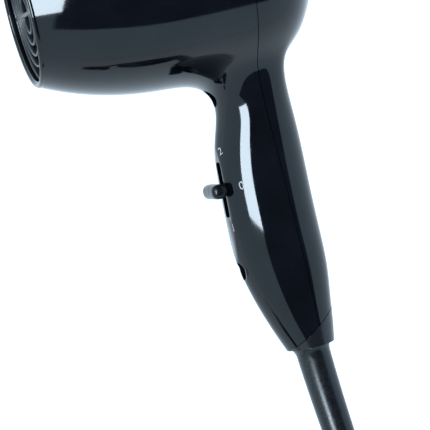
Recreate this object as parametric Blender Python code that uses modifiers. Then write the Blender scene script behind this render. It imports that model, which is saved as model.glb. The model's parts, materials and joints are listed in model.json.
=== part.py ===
"""Compact hair dryer lying on its side, as an assembly of separate pieces.

Metres, +Z up. The dryer is drawn upright: the barrel's axis is X with the outlet's rim at x = 0,
and the handle points to -Z. The empty "lying_pose" then lays it on its side on the floor, z = 0,
where the barrel and the handle's end both touch it. The cord is drawn in the lying frame.
"""

from math import asin, atan2, cos, pi, radians, sin, sqrt

import bmesh
import bpy
from mathutils import Euler, Matrix, Vector

GAP = 0.0003                    # between pieces that touch

# Barrel
OUTLET_RADIUS = 0.0297
BARREL_RADIUS = 0.0443
INLET_RADIUS = 0.0287
FLARE_LENGTH = 0.065            # from the outlet to where the barrel is widest
FLARE_POWER = 2.4
SEAM_X = 0.0875                 # parting plane of the two shells, where the dome begins
DOME_LENGTH = 0.0328            # of the whole dome, which the inlet cuts short
DOME_POWER = 2.6
WALL = 0.0022

# Handle, measured down from the barrel's axis
HANDLE_END = 0.1630
HANDLE_FRONT = 0.0632           # x of the front line at the grip
HANDLE_BACK = 0.1012            # x of the back line
HANDLE_HALF_WIDTH = 0.0155
FRONT_POWER = 1.75              # below 2 the section narrows towards the front
BACK_POWER = 2.15
FILLET = 0.0125                 # between barrel and handle
END_SLOPE = radians(32.5)       # of the shells' lower edge
END_FRONT = 0.1629              # depth of that edge at the front line

# Front to back share of the grip's lines at each depth share of the free handle:
# (depth, how far the front line is set back, how far the back line is set forward, width)
HANDLE_FORM = (
    (0.00, 0.0083, -0.0005, 0.94),
    (0.12, 0.0030, -0.0009, 0.97),
    (0.26, -0.0004, -0.0005, 1.00),
    (0.41, -0.0012, 0.0003, 1.02),
    (0.56, -0.0013, 0.0006, 1.01),
    (0.70, 0.0009, 0.0008, 0.96),
    (0.83, 0.0047, 0.0032, 0.88),
    (0.93, 0.0084, 0.0047, 0.80),
    (1.00, 0.0113, 0.0062, 0.74),
)

# Outlet grille and heater
GRILLE_SET_BACK = 0.0026
GRILLE_DEPTH = 0.0024
GRILLE_RING = 0.0012
GRILLE_RINGS = (0.0078, 0.0125, 0.0171, 0.0217)
MICA_RADIUS = 0.0262
MICA_WALL = 0.0007
MICA_START = 0.0066
MICA_END = 0.0500
COIL_RADIUS = MICA_RADIUS - 0.0057
COIL_THICKNESS = 0.0034
COIL_NAMES = ("front", "middle", "rear")
COIL_INSET = 0.0070             # of the first coil behind the boards' front
COIL_PITCH = 0.0110
BOARD_START = 0.0085
BOARD_THICKNESS = 0.0008

# Motor, fan and inlet
MOTOR_RADIUS = 0.0140
MOTOR_START = 0.0520
MOTOR_END = 0.0780
MOUNT_RADIUS = 0.0402
MOUNT_START = 0.0560
MOUNT_LENGTH = 0.0160
VANES = 7
VANE_TWIST = radians(14)
SHAFT_RADIUS = 0.0012
FAN_RADIUS = 0.0345
FAN_START = 0.0850
FAN_LENGTH = 0.0110
FAN_HUB = 0.0095
BLADES = 9
BLADE_ROOT_PITCH = radians(38)
BLADE_TIP_PITCH = radians(56)
INLET_RINGS = (0.0070, 0.0118, 0.0166, 0.0214)
INLET_SPOKES = 6
INLET_DEPTH = 0.0022
INLET_SET_BACK = 0.0008
INLET_EDGE = 0.0024             # from the rim's outer edge to the grille

# Switch
SWITCH_DEPTH = 0.0902           # below the barrel's axis
FLAT_DEPTH = 0.0022             # of the flat that the knob slides on
SLOT_LENGTH = 0.0235
SLOT_WIDTH = 0.0066
KNOB_TRAVEL = 0.0065
KNOB_WIDTH = 0.0200
KNOB_HEIGHT = 0.0062
KNOB_REACH = 0.0068             # in front of the flat
NECK_HALF = 0.0016              # half of the knob's neck along the slot
FLAT_REACH = 0.030              # of the cutters for the switch's flat and slot
SLOT_REACH = 0.010
CUT_PAST = 0.0010               # of hole cutters past the walls
MOUNT_WALL = 0.0014
SEAT_THICKNESS = 0.0028         # of the wall behind the flat
SWITCH_STAND = 0.0018           # of the switch's case behind that wall
SWITCH_BODY = 0.0110
SWITCH_WIDTH = 0.0096
SWITCH_HEIGHT = 0.0270
SWITCH_LEAN = radians(3.5)      # of the flat, forwards going down

# Screws and cord entry
UPPER_SCREW = 0.0520            # depth below the barrel's axis
LOWER_SCREW = 0.1250
SCREW_HEAD_RADIUS = 0.0033
SCREW_RADIUS = 0.0014
SCREW_RECESS = 0.0040           # radius of the recess over a screw head
SCREW_SEAT = 0.0075             # of a screw head behind the handle's front line
POST_WALL = 0.0014
SLEEVE_RADIUS = 0.0073
SLEEVE_TIP_RADIUS = 0.0062
SLEEVE_LENGTH = 0.0600
SLEEVE_LEAN = radians(2.0)
STUB_RADIUS = 0.0042            # of the strain relief inside the collar
STUB_LENGTH = 0.0180
SLEEVE_RINGS = 10
SLEEVE_CLEARANCE = 0.0008       # of the sleeve's tip above the floor
CLAMP_DEPTH = 0.1460            # below the barrel's axis
CLAMP_HEIGHT = 0.0044
CLAMP_THICKNESS = 0.0056
CLAMP_SPREAD = 0.0040 + HANDLE_HALF_WIDTH * 0.103   # of its screws on each side
CLAMP_SCREW_RADIUS = 0.0009
LEAD_RADIUS = 0.0010
LEAD_SPACING = 0.0075           # of the points along a lead

# Cord, coil and plug; places are in the lying frame
CORD_RADIUS = 0.0036
# From the sleeve's tip across the floor, with each point's height
CORD_ROUTE = ((0.0, -0.0006, 0.0069), (0.0007, -0.0047, 0.0066), (0.0019, -0.0087, 0.0060),
              (0.0034, -0.0124, 0.0053))
COIL_FROM_TIP = (-0.04263, -0.04767)
# From the coil's middle across the floor, with each point's height
PLUG_ROUTE = ((-0.0571, 0.0061, 0.0086), (-0.0598, 0.0128, 0.0077), (-0.0618, 0.0196, 0.0073),
              (-0.0630, 0.0266, 0.0075), (-0.0636, 0.0333, 0.0078))
COIL_MIDDLE = 0.0432
COIL_WIDE = 3                   # turns side by side
COIL_HIGH = 2                   # and on each other
COIL_LIFT = 0.0011
TIE_WIDTH = 0.0080
TIE_THICKNESS = 0.0008
TIE_SLACK = 0.0003
PLUG_ENTRY = (-0.0636, 0.0336, 0.0078)
PLUG_HEADING = radians(4)
PLUG_LENGTH = 0.0340
PLUG_WIDTH = 0.0355
PLUG_TALL = 0.0150
PLUG_FORM = ((0.0, 0.30, 0.66), (0.12, 0.36, 0.80), (0.28, 0.44, 0.90), (0.46, 0.72, 0.97),
             (0.64, 0.95, 1.0), (0.96, 1.0, 1.0), (1.0, 0.96, 0.92))
PIN_PITCH = 0.0190
PIN_RADIUS = 0.0024
PIN_LENGTH = 0.0190
PIN_ROOT = 0.0100

SEGMENTS = 24                   # cage faces round the barrel; four of them carry the handle
SECTION = 16                    # cage faces round the handle
FLARE_ROWS = (-0.04, 0.10, 0.28, 0.50, 0.70)    # shares of the flare; the first lies before the rim
ROOT_BEHIND = 0.1               # share of the fillet behind the handle's back line
DOME_ROW = 0.6                  # where the one row between the root and the inlet's rim lies
LEVEL = 1


def clear_scene():
    """Remove what the scene holds."""
    for item in list(bpy.data.objects):
        bpy.data.objects.remove(item, do_unlink=True)


def new_collection(name):
    """A collection under the scene's own."""
    group = bpy.data.collections.new(name)
    bpy.context.scene.collection.children.link(group)
    return group


def material(name, color, roughness, metallic=0.0):
    """A Principled material."""
    made = bpy.data.materials.new(name)
    made.use_nodes = True
    shader = made.node_tree.nodes["Principled BSDF"]
    shader.inputs["Base Color"].default_value = (*color, 1.0)
    shader.inputs["Roughness"].default_value = roughness
    shader.inputs["Metallic"].default_value = metallic
    return made


def add_object(name, data, finish=None, parent=None):
    """An object among the parts, or among the cutters if it has no finish."""
    made = bpy.data.objects.new(name, data)
    if finish is None:
        CUTTERS.objects.link(made)
        made.hide_render = True
        made.display_type = "WIRE"
    else:
        PARTS.objects.link(made)
        data.materials.append(finish)
    made.parent = parent or POSE
    return made


def from_bmesh(name, shape, finish=None, parent=None, smooth=True):
    """An object from a bmesh."""
    bmesh.ops.recalc_face_normals(shape, faces=shape.faces)
    mesh = bpy.data.meshes.new(name)
    shape.to_mesh(mesh)
    shape.free()
    if smooth:
        mesh.shade_smooth()
        mesh.set_sharp_from_angle(angle=radians(35))
    return add_object(name, mesh, finish, parent)


def boolean(target, tool, operation="DIFFERENCE"):
    """Cut, join or intersect with another object."""
    step = target.modifiers.new(operation.lower(), "BOOLEAN")
    step.operation = operation
    step.object = tool
    return step


def along_x(x, depth, side=0.0):
    """A frame whose +Z runs along the barrel's +X, at a depth below its axis."""
    return Matrix.Translation((x, side, -depth)) @ Matrix.Rotation(pi / 2, 4, "Y")


def cylinder_x(name, radius, start, end, depth=0.0, side=0.0, finish=None, sides=24, parent=None):
    """A cylinder along the barrel's axis."""
    shape = bmesh.new()
    bmesh.ops.create_cone(
        shape, cap_ends=True, segments=sides, radius1=radius, radius2=radius,
        depth=end - start, matrix=along_x((start + end) / 2, depth, side))
    return from_bmesh(name, shape, finish, parent)


def box(name, low, high, finish=None, bevel=0.0, parent=None):
    """A box between two corners, with its edges rounded if asked."""
    shape = bmesh.new()
    size = [b - a for a, b in zip(low, high)]
    middle = [(a + b) / 2 for a, b in zip(low, high)]
    place = Matrix.Translation(middle) @ Matrix.Diagonal((*size, 1.0))
    bmesh.ops.create_cube(shape, size=1.0, matrix=place)
    made = from_bmesh(name, shape, finish, parent, smooth=bevel > 0.0)
    if bevel:
        step = made.modifiers.new("rounded", "BEVEL")
        step.width = bevel
        step.segments = 2
    return made


def turned(name, outline, finish=None, steps=32, parent=None):
    """Turn a closed outline of (x, radius) points round the barrel's axis."""
    shape = bmesh.new()
    points = [shape.verts.new((x, 0.0, radius)) for x, radius in reversed(outline)]
    for first, second in zip(points, points[1:] + points[:1]):
        shape.edges.new((first, second))
    mesh = bpy.data.meshes.new(name)
    shape.to_mesh(mesh)
    shape.free()
    made = add_object(name, mesh, finish, parent)
    step = made.modifiers.new("turned", "SCREW")
    step.axis = "X"
    step.angle = 2 * pi
    step.steps = steps
    step.render_steps = steps
    step.use_merge_vertices = True
    step.merge_threshold = 0.00001
    step.use_smooth_shade = True
    return made


def ring_outline(inner, outer, start, end):
    """The outline of a flat ring, in the order that turns it outside out."""
    return [(start, inner), (start, outer), (end, outer), (end, inner)]


def loft(name, rings, finish=None, parent=None):
    """A closed solid through rings of equally many points."""
    shape = bmesh.new()
    rows = [[shape.verts.new(point) for point in ring] for ring in rings]
    count = len(rows[0])
    for lower, upper in zip(rows, rows[1:]):
        for k in range(count):
            n = (k + 1) % count
            shape.faces.new((lower[k], lower[n], upper[n], upper[k]))
    shape.faces.new(rows[0][::-1])
    shape.faces.new(rows[-1])
    return from_bmesh(name, shape, finish, parent)


def tube(name, points, radius, finish, radii=None, lying=False):
    """A round wire through points; radii gives it its own radius at each point."""
    data = bpy.data.curves.new(name, "CURVE")
    data.dimensions = "3D"
    data.bevel_depth = radius
    data.bevel_resolution = 2
    data.use_fill_caps = True
    line = data.splines.new("POLY")
    line.points.add(len(points) - 1)
    for k, point in enumerate(points):
        line.points[k].co = (*point, 1.0)
        if radii:
            line.points[k].radius = radii[k] / radius
    made = add_object(name, data, finish)
    if lying:
        made.parent = None
    return made


def smooth_path(route, spacing):
    """Points at an even spacing along a smooth curve through the route's points."""
    knots = [Vector(point) for point in route]
    padded = [2 * knots[0] - knots[1], *knots, 2 * knots[-1] - knots[-2]]
    fine = []
    for a, b, c, d in zip(padded, padded[1:], padded[2:], padded[3:]):
        for step in range(12):
            u = step / 12
            fine.append(0.5 * (2 * b + (c - a) * u + (2 * a - 5 * b + 4 * c - d) * u ** 2
                               + (3 * b - a - 3 * c + d) * u ** 3))
    fine.append(knots[-1])
    length = sum((q - p).length for p, q in zip(fine, fine[1:]))
    count = max(2, round(length / spacing))
    picked = [fine[0]]
    walked = 0.0
    for p, q in zip(fine, fine[1:]):
        piece = (q - p).length
        while len(picked) < count and walked + piece >= len(picked) * length / count:
            picked.append(p.lerp(q, (len(picked) * length / count - walked) / piece))
        walked += piece
    picked.append(fine[-1])
    return picked


# ---- the outer form ----

def barrel_radius(x):
    """Outer radius of the barrel: a flare, a straight stretch and a dome."""
    if x < FLARE_LENGTH:
        return BARREL_RADIUS - (BARREL_RADIUS - OUTLET_RADIUS) * (1 - x / FLARE_LENGTH) ** FLARE_POWER
    if x <= SEAM_X:
        return BARREL_RADIUS
    share = min(1.0, (x - SEAM_X) / DOME_LENGTH)
    return BARREL_RADIUS * (1 - share ** DOME_POWER) ** (1 / DOME_POWER)


def dome_x(radius):
    """Where the dome has a given radius."""
    return SEAM_X + DOME_LENGTH * (1 - (radius / BARREL_RADIUS) ** DOME_POWER) ** (1 / DOME_POWER)


def free_top():
    """Depth at which the handle's fillet ends."""
    return BARREL_RADIUS + FILLET


def handle_lines(depth):
    """Front x, back x and half width of the handle at a depth."""
    share = (depth - free_top()) / (HANDLE_END - free_top())
    share = min(1.0, max(0.0, share))
    for low, high in zip(HANDLE_FORM, HANDLE_FORM[1:]):
        if share <= high[0]:
            u = (share - low[0]) / (high[0] - low[0])
            front, back, width = (a + (b - a) * u for a, b in zip(low[1:], high[1:]))
            break
    return HANDLE_FRONT + front, HANDLE_BACK - back, HANDLE_HALF_WIDTH * width


def section_point(front, back, width, angle, spread=1.0):
    """A point of the handle's egg-shaped section; angle 0 is the back, pi the front."""
    middle = front + (back - front) * 0.54
    depth = back - middle if cos(angle) > 0 else middle - front
    power = BACK_POWER if cos(angle) > 0 else FRONT_POWER
    c = abs(cos(angle)) ** (2 / power) * (1 if cos(angle) > 0 else -1)
    s = abs(sin(angle)) ** (2 / power) * (1 if sin(angle) > 0 else -1)
    return middle + depth * c * spread, width * s * spread


def barrel_rows():
    """x of the cage's rings along the barrel, and which of them starts the handle's root."""
    front, back, _ = handle_lines(free_top())
    root_front = front - FILLET
    root_back = back + FILLET * ROOT_BEHIND
    rows = [FLARE_LENGTH * share for share in FLARE_ROWS]
    first = len(rows)
    rows += [root_front + (root_back - root_front) * k / 4 for k in range(5)]
    rim = dome_x(INLET_RADIUS)
    return rows + [root_back + (rim - root_back) * DOME_ROW, rim], first


def add_barrel(shape, rows, first):
    """The barrel's cage with a hole for the handle; gives its grid of points."""
    spread = 3 / (2 + cos(2 * pi / SEGMENTS))
    grid = []
    for x in rows:
        radius = barrel_radius(x) * spread
        turn = [-pi / 2 + 2 * pi * k / SEGMENTS for k in range(SEGMENTS)]
        grid.append([shape.verts.new((x, radius * cos(a), radius * sin(a))) for a in turn])
    for i in range(len(rows) - 1):
        for k in range(SEGMENTS):
            in_root = first <= i < first + 4 and (k < 2 or k >= SEGMENTS - 2)
            if not in_root:
                n = (k + 1) % SEGMENTS
                shape.faces.new((grid[i][k], grid[i][n], grid[i + 1][n], grid[i + 1][k]))
    return grid


def root_edge(grid, first):
    """The hole's points in the order of the handle's section."""
    across = [SEGMENTS - 2, SEGMENTS - 1, 0, 1, 2]
    edge = [grid[first + 4][k] for k in across[2:]]
    edge += [grid[first + i][across[4]] for i in (3, 2, 1)]
    edge += [grid[first][k] for k in across[::-1]]
    edge += [grid[first + i][across[0]] for i in (1, 2, 3)]
    return edge + [grid[first + 4][k] for k in across[:2]]


def handle_rings(edge):
    """Places of the handle's rings, from the fillet's middle to the handle's end."""
    spread = 3 / (2 + cos(2 * pi / SECTION))
    rings = []
    for row in HANDLE_FORM:
        depth = free_top() + (HANDLE_END - free_top()) * row[0]
        places = [section_point(*handle_lines(depth), 2 * pi * k / SECTION, spread) for k in range(SECTION)]
        rings.append([Vector((x, y, -depth)) for x, y in places])
    middle = []
    for vert, point in zip(edge, rings[0]):
        height = sqrt(max(barrel_radius(point.x) ** 2 - point.y ** 2, 0.0))
        corner = Vector((point.x, point.y, -height))
        middle.append((vert.co + 2 * corner + point) / 4)
    return [middle, *rings]


def skin_cage(closed=False):
    """The coarse cage of barrel and handle, which Subdivision Surface rounds."""
    shape = bmesh.new()
    rows, first = barrel_rows()
    grid = add_barrel(shape, rows, first)
    previous = root_edge(grid, first)
    for ring in handle_rings(previous):
        current = [shape.verts.new(point) for point in ring]
        for k in range(SECTION):
            n = (k + 1) % SECTION
            shape.faces.new((previous[k], previous[n], current[n], current[k]))
        previous = current
    if closed:
        shape.faces.new(previous)
        shape.faces.new(grid[0])
        shape.faces.new(grid[-1])
    return shape


def add_subdivision(target):
    """Round a cage."""
    step = target.modifiers.new("rounded", "SUBSURF")
    step.levels = LEVEL
    step.render_levels = LEVEL
    return step


def end_plane_box(name, gap):
    """A box below the slanted plane at the shells' lower edge."""
    reach = 0.3
    shape = bmesh.new()
    middle = Vector((0.0, 0.0, -reach / 2 - gap))
    front, _, _ = handle_lines(END_FRONT)
    place = Matrix.Translation((front, 0.0, -END_FRONT)) @ Matrix.Rotation(-END_SLOPE, 4, "Y")
    bmesh.ops.create_cube(shape, size=reach, matrix=place @ Matrix.Translation(middle))
    return from_bmesh(name, shape)


# ---- housings ----

def switch_flat_x():
    """x of the flat in the handle's front, at the switch."""
    return handle_lines(SWITCH_DEPTH)[0] + FLAT_DEPTH


def inner_block(name, block):
    """Keep of a block only what lies behind the middle of the wall."""
    core = from_bmesh(name + "_core", skin_cage(closed=True))
    add_subdivision(core)
    inset = core.modifiers.new("inset", "DISPLACE")
    inset.strength = -WALL / 2
    inset.mid_level = 0.0
    boolean(block, core, "INTERSECT")
    return block


def screw_head_x(depth):
    """x of a screw head's seat, deep enough under the handle's front line."""
    front, _, _ = handle_lines(depth)
    return front + SCREW_SEAT


def shell(name, low_x, high_x, finish):
    """One of the two shells: the skin between two planes, above the slanted edge."""
    made = from_bmesh(name, skin_cage(), finish)
    add_subdivision(made)
    wall = made.modifiers.new("wall", "SOLIDIFY")
    wall.thickness = WALL
    wall.offset = -1.0
    wall.use_even_offset = True
    reach = 0.3
    boolean(made, box(name + "_side", (low_x, -reach, -reach), (high_x, reach, reach)), "INTERSECT")
    boolean(made, end_plane_box(name + "_end", gap=-GAP / 2))
    return made


def front_housing(finish):
    """Barrel and front of the handle, with the switch's flat and slot and two screw recesses."""
    made = shell("front_housing", 0.0, SEAM_X - GAP / 2, finish)
    seat = box("switch_seat", (-0.004, -0.0085, -0.021), (SEAT_THICKNESS, 0.0085, 0.021), parent=SWITCH)
    boolean(made, inner_block("switch_seat", seat), "UNION")
    for depth, name in ((UPPER_SCREW, "upper"), (LOWER_SCREW, "lower")):
        head = screw_head_x(depth)
        radius = SCREW_RECESS + POST_WALL
        post = cylinder_x(f"front_{name}_post", radius, head - 0.016, SEAM_X - GAP / 2, depth)
        boolean(made, inner_block(f"front_{name}", post), "UNION")
        boolean(made, cylinder_x(f"front_{name}_recess", SCREW_RECESS, head - 0.03, head, depth))
        shank = SCREW_RADIUS + GAP
        hole = cylinder_x(f"front_{name}_hole", shank, head - CUT_PAST, SEAM_X + CUT_PAST, depth, sides=16)
        boolean(made, hole)
    flat_low = (-FLAT_REACH, -FLAT_REACH, -FLAT_REACH)
    boolean(made, box("switch_flat", flat_low, (0.0, FLAT_REACH, FLAT_REACH), parent=SWITCH))
    half, side = SLOT_LENGTH / 2, SLOT_WIDTH / 2
    slot = box("switch_slot", (-SLOT_REACH, -side, -half), (SLOT_REACH, side, half), parent=SWITCH)
    boolean(made, slot)
    return made


def rear_housing(finish):
    """Rear dome and back of the handle, with the posts that the screws bite into."""
    made = shell("rear_housing", SEAM_X + GAP / 2, dome_x(INLET_RADIUS) + 0.01, finish)
    for depth, name in ((UPPER_SCREW, "upper"), (LOWER_SCREW, "lower")):
        _, back, _ = handle_lines(depth)
        thick = SCREW_RADIUS + POST_WALL * 1.5
        post = cylinder_x(f"rear_{name}_post", thick, SEAM_X + GAP / 2, back + 0.01, depth)
        boolean(made, inner_block(f"rear_{name}", post), "UNION")
        end = back - WALL - CUT_PAST
        hole = cylinder_x(f"rear_{name}_hole", SCREW_RADIUS + GAP, SEAM_X - CUT_PAST, end, depth, sides=16)
        boolean(made, hole)
    return made


def screw(name, depth, finish):
    """A pan head screw through both shells."""
    head = screw_head_x(depth) - GAP
    _, back, _ = handle_lines(depth)
    tip = back - WALL - 0.0015
    outline = [(head - 0.0022, 0.0), (head - 0.0022, SCREW_HEAD_RADIUS * 0.8),
               (head - 0.0012, SCREW_HEAD_RADIUS),
               (head, SCREW_HEAD_RADIUS), (head, SCREW_RADIUS), (tip - 0.002, SCREW_RADIUS), (tip, 0.0)]
    made = spun(name, outline, finish, depth, steps=16)
    cross = box(name + "_drive", (-0.0006, -0.0021, -0.0006), (0.0006, 0.0021, 0.0006))
    cross.matrix_local = along_x(head - 0.0022, depth)
    boolean(made, cross)
    return made


def spun(name, outline, finish=None, depth=0.0, side=0.0, steps=24, parent=None):
    """A solid of revolution whose outline starts and ends on its own axis along X."""
    shape = bmesh.new()
    rings = []
    for x, radius in outline:
        if radius == 0.0:
            rings.append([shape.verts.new((x, side, -depth))])
            continue
        turn = [2 * pi * k / steps for k in range(steps)]
        rings.append([shape.verts.new((x, side + radius * cos(a), radius * sin(a) - depth)) for a in turn])
    for low, high in zip(rings, rings[1:]):
        for k in range(steps):
            n = (k + 1) % steps
            corners = [low[k % len(low)], low[n % len(low)], high[n % len(high)], high[k % len(high)]]
            shape.faces.new(list(dict.fromkeys(corners)))
    return from_bmesh(name, shape, finish, parent)


# ---- outlet and heater ----

def outlet_grille(finish):
    """Frame, rings and one bar, behind the outlet's lip."""
    start = GRILLE_SET_BACK
    end = start + GRILLE_DEPTH
    slope = (barrel_radius(end) - barrel_radius(start)) / GRILLE_DEPTH
    outer = barrel_radius(start) - WALL * sqrt(1 + slope ** 2) - GAP
    made = turned("outlet_grille", ring_outline(outer - 0.0016, outer, start, end), finish, steps=40)
    for radius in GRILLE_RINGS:
        half = GRILLE_RING / 2
        steps = 24 if radius < 0.015 else 32
        ring = ring_outline(radius - half, radius + half, start + 0.0002, end - 0.0002)
        boolean(made, turned("grille_ring", ring, steps=steps), "UNION")
    reach = outer - 0.0008
    bar = box("grille_bar", (start + 0.0004, -reach, -0.0009), (end - 0.0004, reach, 0.0009))
    boolean(made, bar, "UNION")
    return made


def mica_board(name, upright, finish):
    """One of the two crossed boards: slotted for the other, notched for the coils."""
    half = MICA_RADIUS - MICA_WALL - 0.0012
    thick = BOARD_THICKNESS / 2
    start, end = BOARD_START, MICA_END - 0.002
    middle = (start + end) / 2
    slot = thick + GAP
    if upright:
        made = box(name, (start, -thick, -half), (end, thick, half), finish)
        cut = box(name + "_slot", (middle - GAP / 2, -slot, -slot), (end + 0.01, slot, slot))
    else:
        made = box(name, (start, -half, -thick), (end, half, thick), finish)
        cut = box(name + "_slot", (start - 0.01, -slot, -slot), (middle + GAP / 2, slot, slot))
    boolean(made, cut)
    for k, coil in enumerate(COIL_NAMES):
        reach = COIL_THICKNESS / 2 + GAP
        x = coil_x(k)
        groove = ring_outline(COIL_RADIUS - reach, half + 0.002, x - reach, x + reach)
        notch = turned(f"{name}_{coil}_notch", groove, steps=40)
        boolean(made, notch)
    return made


def coil_x(k):
    """Where the k-th heating coil stands."""
    return BOARD_START + COIL_INSET + k * COIL_PITCH


def heater_coil(k, finish):
    """The ring that one wound coil fills."""
    outline = []
    for j in range(5):
        angle = 2 * pi / 5 * j
        along, outward = COIL_THICKNESS / 2 * cos(angle), COIL_THICKNESS / 2 * sin(angle)
        outline.append((coil_x(k) - along, COIL_RADIUS + outward))
    return turned("heater_coil_" + COIL_NAMES[k], outline, finish, steps=28)


# ---- motor, fan and inlet ----

def motor_mount(finish):
    """Ring and hub joined by guide vanes; the motor sits in the hub."""
    start, end = MOUNT_START, MOUNT_START + MOUNT_LENGTH
    hub_outer = MOTOR_RADIUS + GAP + 0.0014
    rim = ring_outline(MOUNT_RADIUS - MOUNT_WALL, MOUNT_RADIUS, start, end)
    made = turned("motor_mount", rim, finish, steps=40)
    hub = turned("mount_hub", ring_outline(MOTOR_RADIUS + GAP, hub_outer, start, end), steps=28)
    vanes = bmesh.new()
    for k in range(VANES):
        length = MOUNT_RADIUS - hub_outer
        middle = (MOUNT_RADIUS - 0.0006 + hub_outer - 0.0006) / 2
        place = Matrix.Rotation(2 * pi * (k + 0.5) / VANES, 4, "X")
        place = place @ Matrix.Translation(((start + end) / 2, 0.0, -middle))
        place = place @ Matrix.Rotation(VANE_TWIST, 4, "Z")
        place = place @ Matrix.Diagonal((MOUNT_LENGTH * 0.8, 0.0012, length, 1.0))
        bmesh.ops.create_cube(vanes, size=1.0, matrix=place)
    boolean(made, from_bmesh("mount_vanes", vanes, smooth=False), "UNION")
    boolean(made, hub, "UNION")
    return made


def motor(finish):
    """The can and its rear boss, bored for the shaft."""
    radius = MOTOR_RADIUS
    outline = [(MOTOR_START, 0.0), (MOTOR_START, radius - 0.001), (MOTOR_START + 0.001, radius),
               (MOTOR_END - 0.001, radius), (MOTOR_END, radius - 0.001), (MOTOR_END, 0.0035),
               (MOTOR_END + 0.0025, 0.0035), (MOTOR_END + 0.0025, 0.0)]
    made = spun("motor", outline, finish, steps=28)
    boolean(made, cylinder_x("motor_bore", SHAFT_RADIUS + 0.0001, MOTOR_END - 0.008, MOTOR_END + 0.005))
    return made


def motor_shaft(finish):
    """The shaft, from inside the motor to the fan's nose."""
    return cylinder_x("motor_shaft", SHAFT_RADIUS, MOTOR_END - 0.0076, FAN_START + FAN_LENGTH + 0.002,
                      finish=finish, parent=FAN_AXIS)


def fan(finish):
    """Axial fan: a hub bored for the shaft and pitched blades."""
    start, end = FAN_START, FAN_START + FAN_LENGTH
    bore = SHAFT_RADIUS + GAP
    outline = [(start, bore), (start, FAN_HUB), (end - 0.002, FAN_HUB), (end, FAN_HUB - 0.002), (end, bore)]
    made = turned("fan", outline, finish, steps=28, parent=FAN_AXIS)
    blades = bmesh.new()
    for k in range(BLADES):
        rows = []
        for j in range(4):
            share = j / 3
            radius = FAN_HUB - 0.001 + (FAN_RADIUS - FAN_HUB + 0.001) * share
            pitch = BLADE_ROOT_PITCH + (BLADE_TIP_PITCH - BLADE_ROOT_PITCH) * share
            chord = min(FAN_LENGTH * 0.92 / cos(pitch), 0.0125 + 0.004 * share) / 2
            ring = []
            for along, across in ((-1, -1), (1, -1), (1, 1), (-1, 1)):
                x = along * chord * cos(pitch) - across * 0.0006 * sin(pitch)
                y = along * chord * sin(pitch) + across * 0.0006 * cos(pitch)
                ring.append(Vector(((start + end) / 2 + x, y, radius)))
            spin = Matrix.Rotation(2 * pi * k / BLADES, 4, "X")
            rows.append([blades.verts.new(spin @ point) for point in ring])
        for low, high in zip(rows, rows[1:]):
            for m in range(4):
                n = (m + 1) % 4
                blades.faces.new((low[m], low[n], high[n], high[m]))
        blades.faces.new(rows[0][::-1])
        blades.faces.new(rows[-1])
    boolean(made, from_bmesh("fan_blades", blades, parent=FAN_AXIS), "UNION")
    return made


def inlet_grille(finish):
    """Frame, rings, spokes and a middle disc, set into the rear opening."""
    rim = dome_x(INLET_RADIUS)
    start, end = rim - INLET_SET_BACK - INLET_DEPTH, rim - INLET_SET_BACK
    outer = INLET_RADIUS - INLET_EDGE
    made = turned("inlet_grille", ring_outline(outer - 0.0022, outer, start, end), finish, steps=40)
    for radius in INLET_RINGS:
        ring = ring_outline(radius - 0.0008, radius + 0.0008, start + 0.0002, end - 0.0002)
        boolean(made, turned("inlet_ring", ring, steps=28), "UNION")
    spokes = bmesh.new()
    for k in range(INLET_SPOKES // 2):
        place = Matrix.Rotation(2 * pi * k / INLET_SPOKES, 4, "X")
        place = place @ Matrix.Translation(((start + end) / 2, 0.0, 0.0))
        place = place @ Matrix.Diagonal((INLET_DEPTH - 0.0008 - 0.0001 * k, 0.0014, 2 * outer - 0.002, 1.0))
        bmesh.ops.create_cube(spokes, size=1.0, matrix=place)
    boolean(made, from_bmesh("inlet_spokes", spokes, smooth=False), "UNION")
    return made


def inlet_filter(finish):
    """The fine screen in front of the inlet grille."""
    rim = dome_x(INLET_RADIUS)
    end = rim - INLET_SET_BACK - INLET_DEPTH - GAP
    outer = INLET_RADIUS - INLET_EDGE - 0.0006
    outline = [(end - 0.0005, 0.0), (end - 0.0005, outer), (end, outer), (end, 0.0)]
    return spun("inlet_filter", outline, finish, steps=40)


# ---- switch and handle ----

def switch_body(finish):
    """The slide switch behind the flat."""
    start = SEAT_THICKNESS + SWITCH_STAND
    wide, tall = SWITCH_WIDTH / 2, SWITCH_HEIGHT / 2
    high = (start + SWITCH_BODY, wide, tall)
    return box("switch_body", (start, -wide, -tall), high, finish, 0.0006, SWITCH)


def switch_knob(finish):
    """The bar that the thumb pushes, with its neck through the slot; it slides along the flat."""
    half = KNOB_HEIGHT / 2
    made = box("switch_knob", (-KNOB_REACH, -KNOB_WIDTH / 2, -half), (-GAP, KNOB_WIDTH / 2, half),
               finish, 0.0014, SWITCH)
    neck = SLOT_WIDTH / 2 - 0.0005
    end = SEAT_THICKNESS + SWITCH_STAND - GAP
    stem = box("knob_neck", (-0.002, -neck, -NECK_HALF), (end, neck, NECK_HALF), parent=SWITCH)
    boolean(made, stem, "UNION")
    return made


def cord_collar(finish):
    """The end piece of the handle under the slanted edge, bored for the strain relief."""
    made = from_bmesh("cord_collar", skin_cage(closed=True), finish)
    add_subdivision(made)
    boolean(made, end_plane_box("collar_top", gap=GAP / 2), "INTERSECT")
    bore = loft("collar_bore", sleeve_rings(STUB_RADIUS + GAP, -STUB_LENGTH - 0.004, 0.004))
    boolean(made, bore)
    return made


def sleeve_direction():
    """Which way the strain relief leaves the handle."""
    return Vector((sin(SLEEVE_LEAN), 0.0, -cos(SLEEVE_LEAN)))


def sleeve_root():
    """Middle of the sleeve's upper end, under the handle's end."""
    front, back, _ = handle_lines(HANDLE_END)
    return Vector(((front + back) / 2 + 0.0004, 0.0, -HANDLE_END - GAP))


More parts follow.
